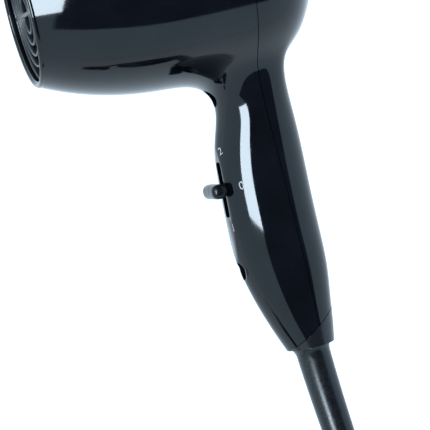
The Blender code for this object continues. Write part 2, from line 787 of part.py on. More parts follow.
def sleeve_rings(radius, start, end, sides=16):
    """Two rings of a straight round piece on the sleeve's line."""
    way = sleeve_direction()
    side = Vector((0.0, 1.0, 0.0))
    other = way.cross(side)
    rings = []
    for along in (start, end):
        middle = sleeve_root() + way * along
        turn = [2 * pi * k / sides for k in range(sides)]
        rings.append([middle + side * radius * cos(a) + other * radius * sin(a) for a in turn])
    return rings


def sleeve_path():
    """Middle line of the sleeve: it leaves along the handle and levels out on the floor."""
    turn = POSE_TURN.to_matrix()
    root = turn @ sleeve_root()
    way = turn @ sleeve_direction()
    floor = -BARREL_RADIUS
    rise = root.z - floor
    rest = SLEEVE_TIP_RADIUS + SLEEVE_CLEARANCE
    flat = Vector((way.x, way.y, 0.0))
    slope = way.z / flat.length
    flat.normalize()
    path = []
    for k in range(SLEEVE_RINGS + 1):
        u = k / SLEEVE_RINGS
        height = rise * (2 * u ** 3 - 3 * u ** 2 + 1) + slope * SLEEVE_LENGTH * (u ** 3 - 2 * u ** 2 + u)
        height += rest * (3 * u ** 2 - 2 * u ** 3)
        path.append(turn.inverted() @ (Vector((root.x, root.y, 0)) + flat * SLEEVE_LENGTH * u
                                       + Vector((0, 0, floor + height))))
    return path


def strain_relief(finish):
    """Tapered sleeve with a stub that fills the collar's bore."""
    path = sleeve_path()
    share = [k / SLEEVE_RINGS for k in range(SLEEVE_RINGS + 1)]
    radii = [SLEEVE_RADIUS + (SLEEVE_TIP_RADIUS - SLEEVE_RADIUS) * u for u in share]
    sides = 16
    stub = sleeve_rings(STUB_RADIUS, -STUB_LENGTH, 0.0, sides)
    rings = [stub[0], stub[1]]
    for k, (point, radius) in enumerate(zip(path, radii)):
        before, after = path[max(k - 1, 0)], path[min(k + 1, SLEEVE_RINGS)]
        way = sleeve_direction() if k == 0 else (after - before).normalized()
        side = Vector((0.0, 1.0, 0.0))
        side = (side - way * side.dot(way)).normalized()
        other = way.cross(side)
        turn = [2 * pi * j / sides for j in range(sides)]
        rings.append([point + side * radius * cos(a) + other * radius * sin(a) for a in turn])
    return loft("strain_relief", rings, finish)


def cord_clamp(finish):
    """The bar that holds the cord's end in the handle, hollowed to fit it."""
    low = CLAMP_DEPTH + CLAMP_HEIGHT / 2
    high = CLAMP_DEPTH - CLAMP_HEIGHT / 2
    middle = clamp_middle()
    face = middle.x - GAP
    made = box("cord_clamp", (face - CLAMP_THICKNESS, -CLAMP_SPREAD - 0.0021, -low),
               (face, CLAMP_SPREAD + 0.0021, -high), finish, 0.0005)
    hollow = loft("clamp_hollow", sleeve_rings(STUB_RADIUS + GAP, -STUB_LENGTH - 0.01, 0.0))
    boolean(made, hollow)
    for side in (-1, 1):
        hole = cylinder_x("clamp_hole", CLAMP_SCREW_RADIUS + GAP, face - 0.01, face + 0.01,
                          CLAMP_DEPTH, side * CLAMP_SPREAD, sides=12)
        boolean(made, hole)
    return made


def clamp_middle():
    """Where the clamp crosses the cord's line."""
    root, way = sleeve_root(), sleeve_direction()
    return root - way * ((CLAMP_DEPTH + root.z) / way.z)


def clamp_screw(name, side, finish):
    """A small screw through the clamp."""
    seat = clamp_middle().x - GAP - CLAMP_THICKNESS - GAP
    outline = [(seat - 0.0012, 0.0), (seat - 0.0012, 0.0016), (seat, 0.0019), (seat, CLAMP_SCREW_RADIUS),
               (seat + 0.0100, CLAMP_SCREW_RADIUS), (seat + 0.0110, 0.0)]
    return spun(name, outline, finish, CLAMP_DEPTH, side * CLAMP_SPREAD, steps=12)


def leads(finishes):
    """The three insulated wires inside: cord to switch, cord to heater, switch to heater."""
    top = -CLAMP_DEPTH + CLAMP_HEIGHT / 2 + 0.0012
    cord = clamp_middle().x + 0.002
    inside = SEAT_THICKNESS + SWITCH_STAND + SWITCH_BODY / 2
    body = SWITCH_PLACE @ Vector((inside, 0.0, -SWITCH_HEIGHT / 2 - GAP))
    roof = SWITCH_PLACE @ Vector((inside, 0.0, SWITCH_HEIGHT / 2 + GAP))
    gather = MOTOR_END + 0.0018
    heater = MICA_END + 0.001
    side = HANDLE_HALF_WIDTH * 0.54
    beside = LOWER_SCREW
    live = [(cord, -0.0024, top), (cord, -side, -beside - 0.007), (cord - 0.002, -side, -beside + 0.007),
            (body.x + 0.001, -side * 0.71, body.z - 0.008), (body.x, -0.004, body.z)]
    neutral = [(cord + 0.001, 0.0024, top), (cord + 0.003, side, top + 0.02),
               (cord + 0.005, side, -SWITCH_DEPTH), (cord + 0.001, side, -0.062),
               (gather, side, -0.045), (gather - 0.003, 0.006, -0.0335),
               (MOTOR_START + 0.010, 0.005, -0.0285), (heater, 0.0045, -0.0225)]
    switched = [(roof.x, -0.004, roof.z), (roof.x + 0.001, -side * 0.77, roof.z + 0.009),
                (gather, -side, -0.056), (gather, -side, -0.045), (gather - 0.003, -0.006, -0.0335),
                (MOTOR_START + 0.010, -0.005, -0.0285), (heater, -0.0045, -0.0225)]
    routes = {"lead_live": live, "lead_neutral": neutral, "lead_switched": switched}
    for (name, route), finish in zip(routes.items(), finishes):
        tube(name, smooth_path(route, LEAD_SPACING), LEAD_RADIUS, finish)


def thermostat(finish):
    """Round thermal switch on the level board."""
    x = BOARD_START + COIL_INSET + COIL_PITCH / 2
    top = BOARD_THICKNESS / 2 + GAP
    shape = bmesh.new()
    place = Matrix.Translation((x, COIL_RADIUS / 2, top + 0.0019))
    bmesh.ops.create_cone(shape, cap_ends=True, segments=20, radius1=0.0042, radius2=0.0042, depth=0.0038,
                          matrix=place)
    return from_bmesh("thermostat", shape, finish)


def thermal_fuse(finish):
    """Small one-shot fuse beside the upright board."""
    x = BOARD_START + COIL_INSET + COIL_PITCH * 1.5
    points = [(x + along, -COIL_RADIUS / 2, -0.0030) for along in (-0.0045, 0.0, 0.0045)]
    return tube("thermal_fuse", points, 0.0015, finish)


# ---- cord, coil and plug, in the lying frame ----

def from_tip(point):
    """A point given from the sleeve's tip across the floor."""
    tip = POSE.matrix_world @ sleeve_path()[-1]
    return Vector((tip.x + point[0], tip.y + point[1], point[2]))


def from_coil(point):
    """A point given from the coil's middle across the floor."""
    middle = from_tip((*COIL_FROM_TIP, 0.0))
    return middle + Vector(point)


def power_cord(finish):
    """The free cord from the sleeve's tip to where it joins the coil."""
    route = smooth_path([from_tip(point) for point in CORD_ROUTE], CORD_RADIUS * 5)
    return tube("power_cord", route, CORD_RADIUS, finish, lying=True)


def plug_lead(finish):
    """The cord's other end, from the coil to the plug."""
    route = smooth_path([from_coil(point) for point in PLUG_ROUTE], CORD_RADIUS * 5)
    return tube("plug_lead", route, CORD_RADIUS, finish, lying=True)


def cord_coil(finish):
    """The space that the coiled cord fills: a flat round ring on the floor."""
    wide = CORD_RADIUS * 2 * COIL_WIDE
    high = CORD_RADIUS * 2 * COIL_HIGH
    inner, outer = COIL_MIDDLE - wide / 2, COIL_MIDDLE + wide / 2
    edge = CORD_RADIUS * 0.7
    outline = [(0.0, inner + edge), (0.0, outer - edge), (edge, outer), (high - edge, outer),
               (high, outer - edge), (high, inner + edge), (high - edge, inner), (edge, inner)]
    made = turned("cord_coil", outline, finish, steps=36)
    made.parent = None
    place = Matrix.Translation(from_coil((0.0, 0.0, COIL_LIFT)))
    made.matrix_world = place @ Matrix.Rotation(-pi / 2, 4, "Y")
    return made


def cord_tie(finish):
    """A strap wrapped round the coil at its far side."""
    tall = CORD_RADIUS * 2 * COIL_HIGH + 2 * GAP
    reach = CORD_RADIUS * COIL_WIDE + GAP + TIE_SLACK
    x, y, _ = from_coil((0.0, -COIL_MIDDLE, 0.0))
    low = COIL_LIFT - GAP
    half = TIE_WIDTH / 2
    thick = TIE_THICKNESS
    made = box("cord_tie", (x - half, y - reach - thick, low - thick),
               (x + half, y + reach + thick, low + tall + thick), finish, 0.0004)
    inside = box("tie_inside", (x - half - 0.01, y - reach, low), (x + half + 0.01, y + reach, low + tall))
    for item in (made, inside):
        item.parent = None
    boolean(made, inside)
    return made


def plug_ring(along, wide, tall, sides=20):
    """One section of the plug: a rounded rectangle across its line."""
    ring = []
    for k in range(sides):
        a = 2 * pi * (k + 0.5) / sides
        c = abs(cos(a)) ** 0.5 * (1 if cos(a) > 0 else -1)
        s = abs(sin(a)) ** 0.5 * (1 if sin(a) > 0 else -1)
        ring.append(Vector((wide / 2 * c, along, tall / 2 * s)))
    return ring


def plug_body(finish):
    """Moulded two-pin plug; its flat front face has a hole for each pin."""
    rings = [plug_ring(PLUG_LENGTH * share, PLUG_WIDTH * wide, PLUG_TALL * tall)
             for share, wide, tall in PLUG_FORM]
    made = loft("plug_body", rings, finish, PLUG)
    for side in (-1, 1):
        hole = spun("pin_hole", [(-PIN_ROOT - GAP, 0.0), (-PIN_ROOT - GAP, PIN_RADIUS + GAP),
                                 (0.01, PIN_RADIUS + GAP), (0.01, 0.0)], steps=20, parent=PLUG)
        hole.matrix_local = pin_frame(side)
        boolean(made, hole)
    return made


def pin_frame(side):
    """A frame on the plug's face whose +X runs along a pin."""
    return Matrix.Translation((side * PIN_PITCH / 2, PLUG_LENGTH, 0.0)) @ Matrix.Rotation(pi / 2, 4, "Z")


def plug_pin(name, side, finish):
    """A round pin with a domed tip."""
    outline = [(-PIN_ROOT, 0.0), (-PIN_ROOT, PIN_RADIUS), (PIN_LENGTH - PIN_RADIUS, PIN_RADIUS),
               (PIN_LENGTH - PIN_RADIUS * 0.35, PIN_RADIUS * 0.75),
               (PIN_LENGTH, PIN_RADIUS * 0.35), (PIN_LENGTH, 0.0)]
    made = spun(name, outline, finish, steps=20, parent=PLUG)
    made.matrix_local = pin_frame(side)
    return made


# ---- the assembly ----

def lying_turn():
    """Rotation that lays the dryer on its side, with the handle's end on the floor too."""
    tilts = []
    for share, _, _, width in HANDLE_FORM:
        depth = free_top() + (HANDLE_END - free_top()) * share
        half = HANDLE_HALF_WIDTH * width
        tilts.append(asin(BARREL_RADIUS / sqrt(half ** 2 + depth ** 2)) - atan2(half, depth))
    return Euler((min(tilts) - pi / 2, 0.0, 0.0))


def empty(name, parent, place=None):
    """An empty that carries pieces."""
    made = bpy.data.objects.new(name, None)
    bpy.context.scene.collection.objects.link(made)
    made.parent = parent
    if place is not None:
        made.matrix_local = place
    return made


def set_on_floor(pieces):
    """Move the lying dryer so that its box stands on the origin."""
    bpy.context.view_layer.update()
    graph = bpy.context.evaluated_depsgraph_get()
    points = []
    for piece in pieces:
        seen = piece.evaluated_get(graph)
        mesh = seen.to_mesh()
        points += [piece.matrix_world @ vert.co for vert in mesh.vertices]
        seen.to_mesh_clear()
    low = Vector([min(p[k] for p in points) for k in range(3)])
    high = Vector([max(p[k] for p in points) for k in range(3)])
    middle = (low + high) / 2
    POSE.location -= Vector((middle.x, middle.y, low.z))
    bpy.context.view_layer.update()


def main():
    """Model every piece."""
    black = material("housing_black", (0.012, 0.013, 0.016), 0.08)
    satin = material("satin_black", (0.018, 0.019, 0.021), 0.35)
    rubber = material("cord_black", (0.02, 0.02, 0.021), 0.5)
    grille = material("grille_black", (0.03, 0.032, 0.035), 0.3)
    mica = material("mica", (0.42, 0.36, 0.27), 0.45)
    wire = material("heating_wire", (0.55, 0.53, 0.50), 0.3, 1.0)
    steel = material("steel", (0.56, 0.57, 0.58), 0.3, 1.0)
    brass = material("brass", (0.78, 0.60, 0.32), 0.25, 1.0)
    white = material("white_nylon", (0.75, 0.74, 0.70), 0.45)
    brown = material("lead_brown", (0.20, 0.07, 0.03), 0.45)
    blue = material("lead_blue", (0.03, 0.10, 0.45), 0.45)

    front_housing(black)
    rear_housing(black)
    outlet_grille(grille)
    mica_tube = ring_outline(MICA_RADIUS - MICA_WALL, MICA_RADIUS, MICA_START, MICA_END)
    turned("mica_tube", mica_tube, mica, steps=40)
    mica_board("mica_board_upright", True, mica)
    mica_board("mica_board_level", False, mica)
    for k in range(len(COIL_NAMES)):
        heater_coil(k, wire)
    thermostat(steel)
    thermal_fuse(white)
    motor_mount(white)
    motor(steel)
    motor_shaft(steel)
    fan(white)
    inlet_filter(grille)
    inlet_grille(grille)
    switch_body(white)
    switch_knob(satin)
    screw("upper_screw", UPPER_SCREW, steel)
    screw("lower_screw", LOWER_SCREW, steel)
    leads((brown, blue, brown))
    cord_clamp(satin)
    clamp_screw("clamp_screw_left", -1, steel)
    clamp_screw("clamp_screw_right", 1, steel)
    cord_collar(satin)
    strain_relief(satin)
    set_on_floor(list(PARTS.objects))
    power_cord(rubber)
    cord_coil(rubber)
    plug_lead(rubber)
    cord_tie(satin)
    PLUG.matrix_world = Matrix.Translation(from_coil(PLUG_ENTRY)) @ Matrix.Rotation(PLUG_HEADING, 4, "Z")
    plug_body(rubber)
    plug_pin("plug_pin_left", -1, brass)
    plug_pin("plug_pin_right", 1, brass)


clear_scene()
PARTS = new_collection("hair_dryer")
CUTTERS = new_collection("cutters")
POSE_TURN = lying_turn()
POSE = empty("lying_pose", None)
POSE.rotation_euler = POSE_TURN
FAN_AXIS = empty("fan_axis", POSE)
SWITCH_PLACE = Matrix.Translation((switch_flat_x(), 0.0, -SWITCH_DEPTH))
SWITCH_PLACE = SWITCH_PLACE @ Matrix.Rotation(SWITCH_LEAN, 4, "Y")
SWITCH = empty("switch_slide", POSE, SWITCH_PLACE)
PLUG = empty("plug_place", None)
main()
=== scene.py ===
"""Looks of a compact hair dryer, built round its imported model.

Metres, +Z up. The outer pieces are shaped upright, with the barrel's axis along X from the outlet's
rim and the handle pointing to -Z; LYING then lays them on their side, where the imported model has
them. The cord and its plug are shaped as they lie.
"""

import json
from math import asin, atan2, cos, pi, radians, sin, sqrt

import bmesh
import bpy
from bpy.props import FloatProperty, FloatVectorProperty, IntProperty, PointerProperty
from mathutils import Euler, Matrix, Vector
from mathutils.bvhtree import BVHTree


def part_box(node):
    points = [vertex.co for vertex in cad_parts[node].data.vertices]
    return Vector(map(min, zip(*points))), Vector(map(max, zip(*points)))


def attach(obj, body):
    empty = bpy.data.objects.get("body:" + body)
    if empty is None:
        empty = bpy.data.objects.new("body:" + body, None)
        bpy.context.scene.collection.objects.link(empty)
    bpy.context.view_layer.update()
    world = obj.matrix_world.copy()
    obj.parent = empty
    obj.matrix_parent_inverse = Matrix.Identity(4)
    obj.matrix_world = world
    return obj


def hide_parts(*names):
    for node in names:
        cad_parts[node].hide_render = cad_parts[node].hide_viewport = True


bl_info = {
    "name": "Compact hair dryer",
    "version": (1, 0, 0),
    "blender": (4, 5, 0),
    "location": "3D View > Sidebar > Dryer",
    "description": "Builds the visible pieces of a compact hair dryer and its studio",
    "category": "Object",
}

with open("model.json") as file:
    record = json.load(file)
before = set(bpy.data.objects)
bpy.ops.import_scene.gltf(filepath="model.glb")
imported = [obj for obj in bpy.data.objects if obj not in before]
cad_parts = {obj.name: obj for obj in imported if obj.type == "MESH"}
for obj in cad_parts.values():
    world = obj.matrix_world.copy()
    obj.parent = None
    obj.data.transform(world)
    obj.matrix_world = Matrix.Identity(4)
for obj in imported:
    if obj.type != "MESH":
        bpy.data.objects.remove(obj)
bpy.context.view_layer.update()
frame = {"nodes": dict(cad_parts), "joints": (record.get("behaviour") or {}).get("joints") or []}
JOINTS = {joint["name"]: joint for joint in frame["joints"]}

GAP = 0.0003                    # between pieces that touch
SEGMENTS = 24                   # cage faces round the barrel; four of them carry the handle
SECTION = 16                    # cage faces round the handle
FLARE_ROWS = (-0.04, 0.10, 0.28, 0.50, 0.70)    # the cage's rings, as shares of the flare's length
ROOT_BEHIND = 0.1               # how far the handle's root runs behind its back, in fillets
DOME_ROW = 0.6                  # the dome's middle ring, as a share of the way to its rim
SECTION_MIDDLE = 0.54           # widest part of the handle's section, as a share of its depth
BACK_FULLNESS = 2.15            # roundness of the section behind that, 2 being an ellipse
FRONT_FULLNESS = 1.75           # and before it

# Share of the free handle's depth, set-back of its front line, set-forward of its back line,
# and share of its half width
HANDLE_FORM = (
    (0.00, 0.0083, -0.0005, 0.94),
    (0.12, 0.0030, -0.0009, 0.97),
    (0.26, -0.0004, -0.0005, 1.00),
    (0.41, -0.0012, 0.0003, 1.02),
    (0.56, -0.0013, 0.0006, 1.01),
    (0.70, 0.0009, 0.0008, 0.96),
    (0.83, 0.0047, 0.0032, 0.88),
    (0.93, 0.0084, 0.0047, 0.80),
    (1.00, 0.0113, 0.0062, 0.74),
)

# The cord's two free stretches, as they lie
CORD_ROUTE = ((0.0294, -0.1325, 0.0069), (0.0301, -0.1366, 0.0066), (0.0313, -0.1406, 0.0060),
              (0.0328, -0.1443, 0.0053))
CORD_JOIN = ((0.0345, -0.1495, 0.0049), (0.0358, -0.1560, 0.0047), (0.0365, -0.1650, 0.0047))
PLUG_ROUTE = ((-0.0703, -0.1735, 0.0086), (-0.0730, -0.1668, 0.0077), (-0.0750, -0.1600, 0.0073),
              (-0.0762, -0.1530, 0.0075), (-0.0768, -0.1463, 0.0078))
COIL_LEAVE = (-0.0655, -0.1855, 0.0104)
COIL_LIFT = 0.0011              # of the coil above the floor
COIL_SPACING = 1.03             # from turn to turn, in thicknesses of the cord
COIL_START = radians(4.3)
COIL_RISE = 0.45                # share of a turn in which the cord climbs to the upper layer
COIL_STEPS = 36                 # points to a turn
CORD_STEP = 0.004               # between points where it isn't coiled
STRAP_THICKNESS = 0.0008
STRAP_SQUARENESS = 0.42
PLUG_ENTRY = (-0.0768, -0.1460, 0.0078)
PLUG_HEADING = radians(4)
PLUG_FORM = ((0.0, 0.28, 0.62), (0.05, 0.31, 0.70), (0.12, 0.35, 0.80), (0.28, 0.44, 0.90),
             (0.38, 0.57, 0.94), (0.48, 0.76, 0.97), (0.58, 0.90, 0.99), (0.66, 0.96, 1.0),
             (0.93, 1.0, 1.0), (0.985, 0.985, 0.97), (1.0, 0.95, 0.91))
PLUG_RIBS = (0.60, 0.70, 0.80)
GROOVE = (0.0016, 0.0009, 0.0004)       # a groove's half depth, half width and rounding
PIN_HOLE = (0.0103, 0.0027, 0.0095)     # its depth, radius and distance from the plug's middle

OUTLET_START = 0.0026           # of the grille behind the outlet's rim
OUTLET_DEPTH = 0.0024
OUTLET_RINGS = (0.0078, 0.0125, 0.0171, 0.0217)
INLET_RINGS = (0.0070, 0.0118, 0.0166, 0.0214)
INLET_DEPTH = 0.0019            # of the rear grille's middle inside its rim
HEATER_RADIUS = 0.0205          # of the ring that the heater's wire winds along
WIND_RADIUS = 0.00145           # of the winding itself
WIND_TURNS = 64
WIND_STEPS = 10                 # points to a turn of the winding
WIRE_RADIUS = 0.00024


SLEEVE_LIP = 0.0011             # how much wider the sleeve is where it meets the collar
SLEEVE_LIP_REACH = 0.055        # share of its length that the lip takes
SLEEVE_SIDES = 48
RECESS_DEPTH = 0.0072           # of the cut for a screw's head
LINING_START = 0.0012           # of the tube that lines the cut, inside the handle's front
LINING_END = 0.0088
LINING_WALL = 0.001
LINING_FLOOR = 0.0014
SCREW_HOLE = 0.0016
FLOOR_HALF = 3.0
FLOOR_LAMP_PLACE = (0.1, 0.2, 1.6)
FLOOR_LAMP_SIZE = (1.6, 1.6)
STRIP_DISTANCE = 2.5
STRIP_SIZE = (0.84, 1.25)
MARK_SIZE = 0.0047
MARKS = (
    ("mark_two", "2", (0.0640, -0.0058, -0.0735)),
    ("mark_zero", "0", (0.0702, -0.0110, -0.0898)),
    ("mark_one", "1", (0.0636, -0.0052, -0.1062)),
)


# ---- settings ----

def distance(label, about, default, low=-10.0, high=10.0, digits=4):
    """A length to set, in metres."""
    return FloatProperty(name=label, description=about, default=default, min=low, max=high,
                         subtype="DISTANCE", unit="LENGTH", precision=digits)


def bearing(label, about, default, low=-pi, high=pi):
    """An angle to set."""
    return FloatProperty(name=label, description=about, default=default, min=low, max=high,
                         subtype="ANGLE", unit="ROTATION")


def tone(label, about, default):
    """A colour to set."""
    return FloatVectorProperty(name=label, description=about, default=default, size=3,
                               min=0.0, max=1.0, subtype="COLOR")


def amount(label, about, default, low, high, unit="NONE"):
    """A plain number to set."""
    return FloatProperty(name=label, description=about, default=default, min=low, max=high, unit=unit)


class DryerForm(bpy.types.PropertyGroup):
    """Sizes of the dryer's outer form."""

    outlet_radius: distance(
        "Outlet radius", "Outer radius of the rim that the air leaves through", 0.0297, 0.01, 0.06)
    barrel_radius: distance("Barrel radius", "Greatest radius of the barrel", 0.0443, 0.02, 0.08)
    flare_length: distance(
        "Flare length", "From the outlet to where the barrel is widest", 0.065, 0.02, 0.15)
    flare_power: amount(
        "Flare fullness", "How quickly the barrel widens behind the outlet", 2.4, 1.0, 6.0)
    seam_x: distance(
        "Parting plane", "From the outlet's rim to the plane where the shells meet", 0.0875, 0.05, 0.15)
    inlet_radius: distance("Inlet radius", "Radius of the rear opening's rim", 0.0287, 0.01, 0.05)
    dome_length: distance(
        "Dome length", "Length of the whole rear dome, which the inlet cuts short", 0.0328, 0.01, 0.08)
    dome_power: amount("Dome fullness", "How square the rear dome's shoulder is", 2.6, 1.5, 5.0)
    wall: distance("Wall", "Thickness of the moulded shells", 0.0022, 0.0008, 0.005)
    handle_end: distance(
        "Handle end", "From the barrel's axis down to the handle's end", 0.1630, 0.1, 0.25)
    handle_front: distance("Grip front", "x of the front line at the grip", 0.0632, 0.02, 0.15)
    handle_back: distance("Grip back", "x of the back line at the grip", 0.1012, 0.03, 0.2)
    handle_half_width: distance(
        "Grip half width", "Half of the grip's width from side to side", 0.0155, 0.008, 0.03)
    fillet: distance("Root fillet", "Fillet between the barrel and the handle", 0.0125, 0.004, 0.03)
    end_slope: bearing(
        "Lower edge slope", "Slope of the shells' lower edge", radians(32.5), 0.0, radians(60))
    end_front: distance(
        "Lower edge depth", "Depth of the shells' lower edge at the handle's front", 0.1629, 0.1, 0.25)
    smoothness: IntProperty(
        name="Smoothness", description="Subdivision of the shells' cage", default=3, min=1, max=5)


class DryerDetails(bpy.types.PropertyGroup):
    """Sizes of the switch, screws, grilles and strain relief."""

    switch_depth: distance(
        "Switch depth", "From the barrel's axis down to the switch's middle", 0.0902, 0.05, 0.15)
    flat_depth: distance("Switch flat", "Depth of the flat that the knob slides on", 0.0022, 0.0, 0.006)
    switch_lean: bearing(
        "Switch lean", "Lean of the switch's flat", radians(3.5), radians(-20), radians(20))
    slot_length: distance(
        "Slot length", "Length of the slot that the knob's neck runs in", 0.0235, 0.01, 0.05)
    slot_width: distance("Slot width", "Width of the slot", 0.0066, 0.002, 0.012)
    knob_width: distance("Knob width", "Width of the switch's knob", 0.0200, 0.006, 0.03)
    knob_height: distance("Knob height", "Size of the knob along its travel", 0.0062, 0.002, 0.012)
    knob_reach: distance("Knob reach", "How far the knob stands out of the flat", 0.0068, 0.002, 0.015)
    recess_radius: distance(
        "Screw recess", "Radius of the recess over a screw's head", 0.0040, 0.002, 0.008)
    upper_screw: distance(
        "Upper screw", "Depth of the upper screw below the barrel's axis", 0.0520, 0.03, 0.2)
    lower_screw: distance(
        "Lower screw", "Depth of the lower screw below the barrel's axis", 0.1250, 0.03, 0.2)
    sleeve_radius: distance(
        "Sleeve radius", "Radius of the strain relief at the handle", 0.0073, 0.004, 0.012)
    sleeve_tip_radius: distance(
        "Sleeve tip radius", "Radius of the strain relief at its tip", 0.0062, 0.003, 0.012)
    sleeve_length: distance("Sleeve length", "Length of the strain relief", 0.0600, 0.02, 0.1)
    sleeve_lean: bearing(
        "Sleeve lean", "Lean of the strain relief from the handle's line",
        radians(2.0), radians(-20), radians(20))
    sleeve_clearance: distance(
        "Sleeve clearance", "Height of the sleeve's tip above the floor", 0.0008, 0.0, 0.01)


class DryerCord(bpy.types.PropertyGroup):
    """Sizes of the cord, its coil and its plug."""

    radius: distance("Cord radius", "Radius of the cord's outer sheath", 0.0036, 0.001, 0.01)
    length: distance("Cord length", "Whole length of the cord", 1.6, 0.5, 5.0, digits=2)
    coil_x: distance("Coil x", "x of the coil's middle", -0.0132)
    coil_y: distance("Coil y", "y of the coil's middle", -0.1796)
    coil_outer: distance("Outer turn", "Radius of the coil's outer turn", 0.0500, 0.02, 0.1)
    lower_turns: IntProperty(
        name="Lower turns", description="Turns in the coil's lower layer", default=3, min=1, max=10)
    plug_length: distance("Plug length", "Length of the plug's body", 0.0340, 0.02, 0.06)
    plug_width: distance("Plug width", "Width of the plug's body", 0.0355, 0.02, 0.06)
    plug_tall: distance("Plug height", "Height of the plug's body", 0.0150, 0.008, 0.03)


class DryerFinish(bpy.types.PropertyGroup):
    """Colours of the dryer's finishes."""

    gloss_black: tone("Gloss black", "Colour of the polished shells", (0.0035, 0.0050, 0.0080))
    satin_black: tone("Satin black", "Colour of the knob, collar and clamp", (0.016, 0.018, 0.022))
    sheath_black: tone(
        "Sheath black", "Colour of the cord, its sleeve and its plug", (0.0065, 0.0080, 0.0110))
    grille_black: tone("Grille black", "Colour of the two grilles", (0.040, 0.048, 0.056))
    mica: tone("Mica", "Colour of the heater's mica boards and tube", (0.105, 0.085, 0.070))
    marks: tone("Marks", "Colour of the switch's printed marks", (0.85, 0.87, 0.88))


class DryerStudio(bpy.types.PropertyGroup):
    """The camera and the studio's light."""

    camera_azimuth: bearing(
        "Camera azimuth", "Direction of the camera from the dryer, from -Y towards -X", radians(61.43))
    camera_elevation: bearing(
        "Camera elevation", "Height of the camera above the floor, as an angle", radians(75.19))
    camera_roll: bearing("Camera roll", "Turn of the camera about its line of sight", radians(-17.02))
    camera_distance: distance(
        "Camera distance", "From the camera to the point it looks at", 0.8, 0.2, 5.0, digits=2)
    camera_target: FloatVectorProperty(
        name="Camera target", description="Point that the camera looks at",
        default=(-0.0028, -0.0114, 0.04), size=3, subtype="TRANSLATION", unit="LENGTH", precision=4)
    camera_lens: amount(
        "Camera lens", "Focal length on a 36 mm sensor, in millimetres", 163.9, 10.0, 400.0, "CAMERA")
    tent_color: tone("Tent colour", "Colour of the pale surroundings", (0.62, 0.83, 1.0))
    tent_strength: amount("Tent strength", "Brightness of the pale surroundings", 1.9, 0.0, 10.0)
    opening_color: tone(
        "Opening colour", "Colour of the dark opening round the camera", (0.06, 0.07, 0.11))
    lamp_color: tone("Lamp colour", "Colour of the two lamps", (0.74, 0.88, 1.0))
    floor_light: amount(
        "Floor light", "Power of the lamp that lights the floor, in watts", 24.0, 0.0, 500.0, "POWER")
    strip_light: amount(
        "Strip light", "Power of the strip that the handle reflects, in watts",
        125.0, 0.0, 500.0, "POWER")
    strip_side: bearing(
        "Strip side", "Angle of the strip lamp to the left of the rig's line of sight", radians(27.5))
    strip_lift: bearing(
        "Strip lift", "Angle of the strip lamp above the rig's line of sight", radians(-2.0))


def form():
    """The outer form's sizes."""
    return bpy.context.scene.dryer_form


def details():
    """The small pieces' sizes."""
    return bpy.context.scene.dryer_details


def cord_sizes():
    """The cord's sizes."""
    return bpy.context.scene.dryer_cord


def colors():
    """The finishes' colours."""
    return bpy.context.scene.dryer_finish


# ---- the outer form, drawn upright ----

def barrel_radius(x):
    """Outer radius of the barrel: a flare, a straight stretch and a dome."""
    f = form()
    if x < f.flare_length:
        narrower = (f.barrel_radius - f.outlet_radius) * (1 - x / f.flare_length) ** f.flare_power
        return f.barrel_radius - narrower
    if x <= f.seam_x:
        return f.barrel_radius
    share = min(1.0, (x - f.seam_x) / f.dome_length)
    return f.barrel_radius * (1 - share ** f.dome_power) ** (1 / f.dome_power)


def dome_x(radius):
    """Where the dome has a given radius."""
    f = form()
    return f.seam_x + f.dome_length * (1 - (radius / f.barrel_radius) ** f.dome_power) ** (1 / f.dome_power)


def free_top():
    """Depth at which the handle's fillet ends."""
    return form().barrel_radius + form().fillet


def handle_lines(depth):
    """Front x, back x and half width of the handle at a depth."""
    f = form()
    share = (depth - free_top()) / (f.handle_end - free_top())
    share = min(1.0, max(0.0, share))
    for low, high in zip(HANDLE_FORM, HANDLE_FORM[1:]):
        if share <= high[0]:
            u = (share - low[0]) / (high[0] - low[0])
            front, back, width = (a + (b - a) * u for a, b in zip(low[1:], high[1:]))
            break
    return f.handle_front + front, f.handle_back - back, f.handle_half_width * width


def around(count, start=0.0):
    """Angles of evenly spaced points on a circle."""
    return [start + 2 * pi * k / count for k in range(count)]


def squarer(value, power):
    """A sine or cosine raised to a power, with its sign kept."""
    return abs(value) ** power * (1 if value > 0 else -1)


def section_point(front, back, width, angle, spread=1.0):
    """A point of the handle's egg-shaped section; angle 0 is the back, pi the front."""
    middle = front + (back - front) * SECTION_MIDDLE
    behind = cos(angle) > 0
    depth = back - middle if behind else middle - front
    power = 2 / (BACK_FULLNESS if behind else FRONT_FULLNESS)
    x = middle + depth * squarer(cos(angle), power) * spread
    return x, width * squarer(sin(angle), power) * spread


def lying_tilt():
    """Turn about X that lays the dryer on its side, its handle's end on the floor too."""
    f = form()
    tilts = []
    for share, _, _, width in HANDLE_FORM:
        depth = free_top() + (f.handle_end - free_top()) * share
        half = f.handle_half_width * width
        tilts.append(asin(f.barrel_radius / sqrt(half ** 2 + depth ** 2)) - atan2(half, depth))
    return min(tilts) - pi / 2


def lying():
    """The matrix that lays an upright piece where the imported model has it."""
    turn = Euler((lying_tilt(), 0.0, 0.0)).to_matrix().to_4x4()
    return Matrix.Translation(JOINTS["fan_spin"]["pos_m"]) @ turn


def switch_place():
    """Frame of the switch: its Z runs along the slot and its X into the handle."""
    d = details()
    x = handle_lines(d.switch_depth)[0] + d.flat_depth
    return Matrix.Translation((x, 0.0, -d.switch_depth)) @ Matrix.Rotation(d.switch_lean, 4, "Y")


def barrel_rows():
    """x of the cage's rings along the barrel, and which of them starts the handle's root."""
    f = form()
    front, back, _ = handle_lines(free_top())
    root_front = front - f.fillet
    root_back = back + f.fillet * ROOT_BEHIND
    rows = [f.flare_length * share for share in FLARE_ROWS]
    first = len(rows)
    rows += [root_front + (root_back - root_front) * k / 4 for k in range(5)]
    rim = dome_x(f.inlet_radius)
    return rows + [root_back + (rim - root_back) * DOME_ROW, rim], first


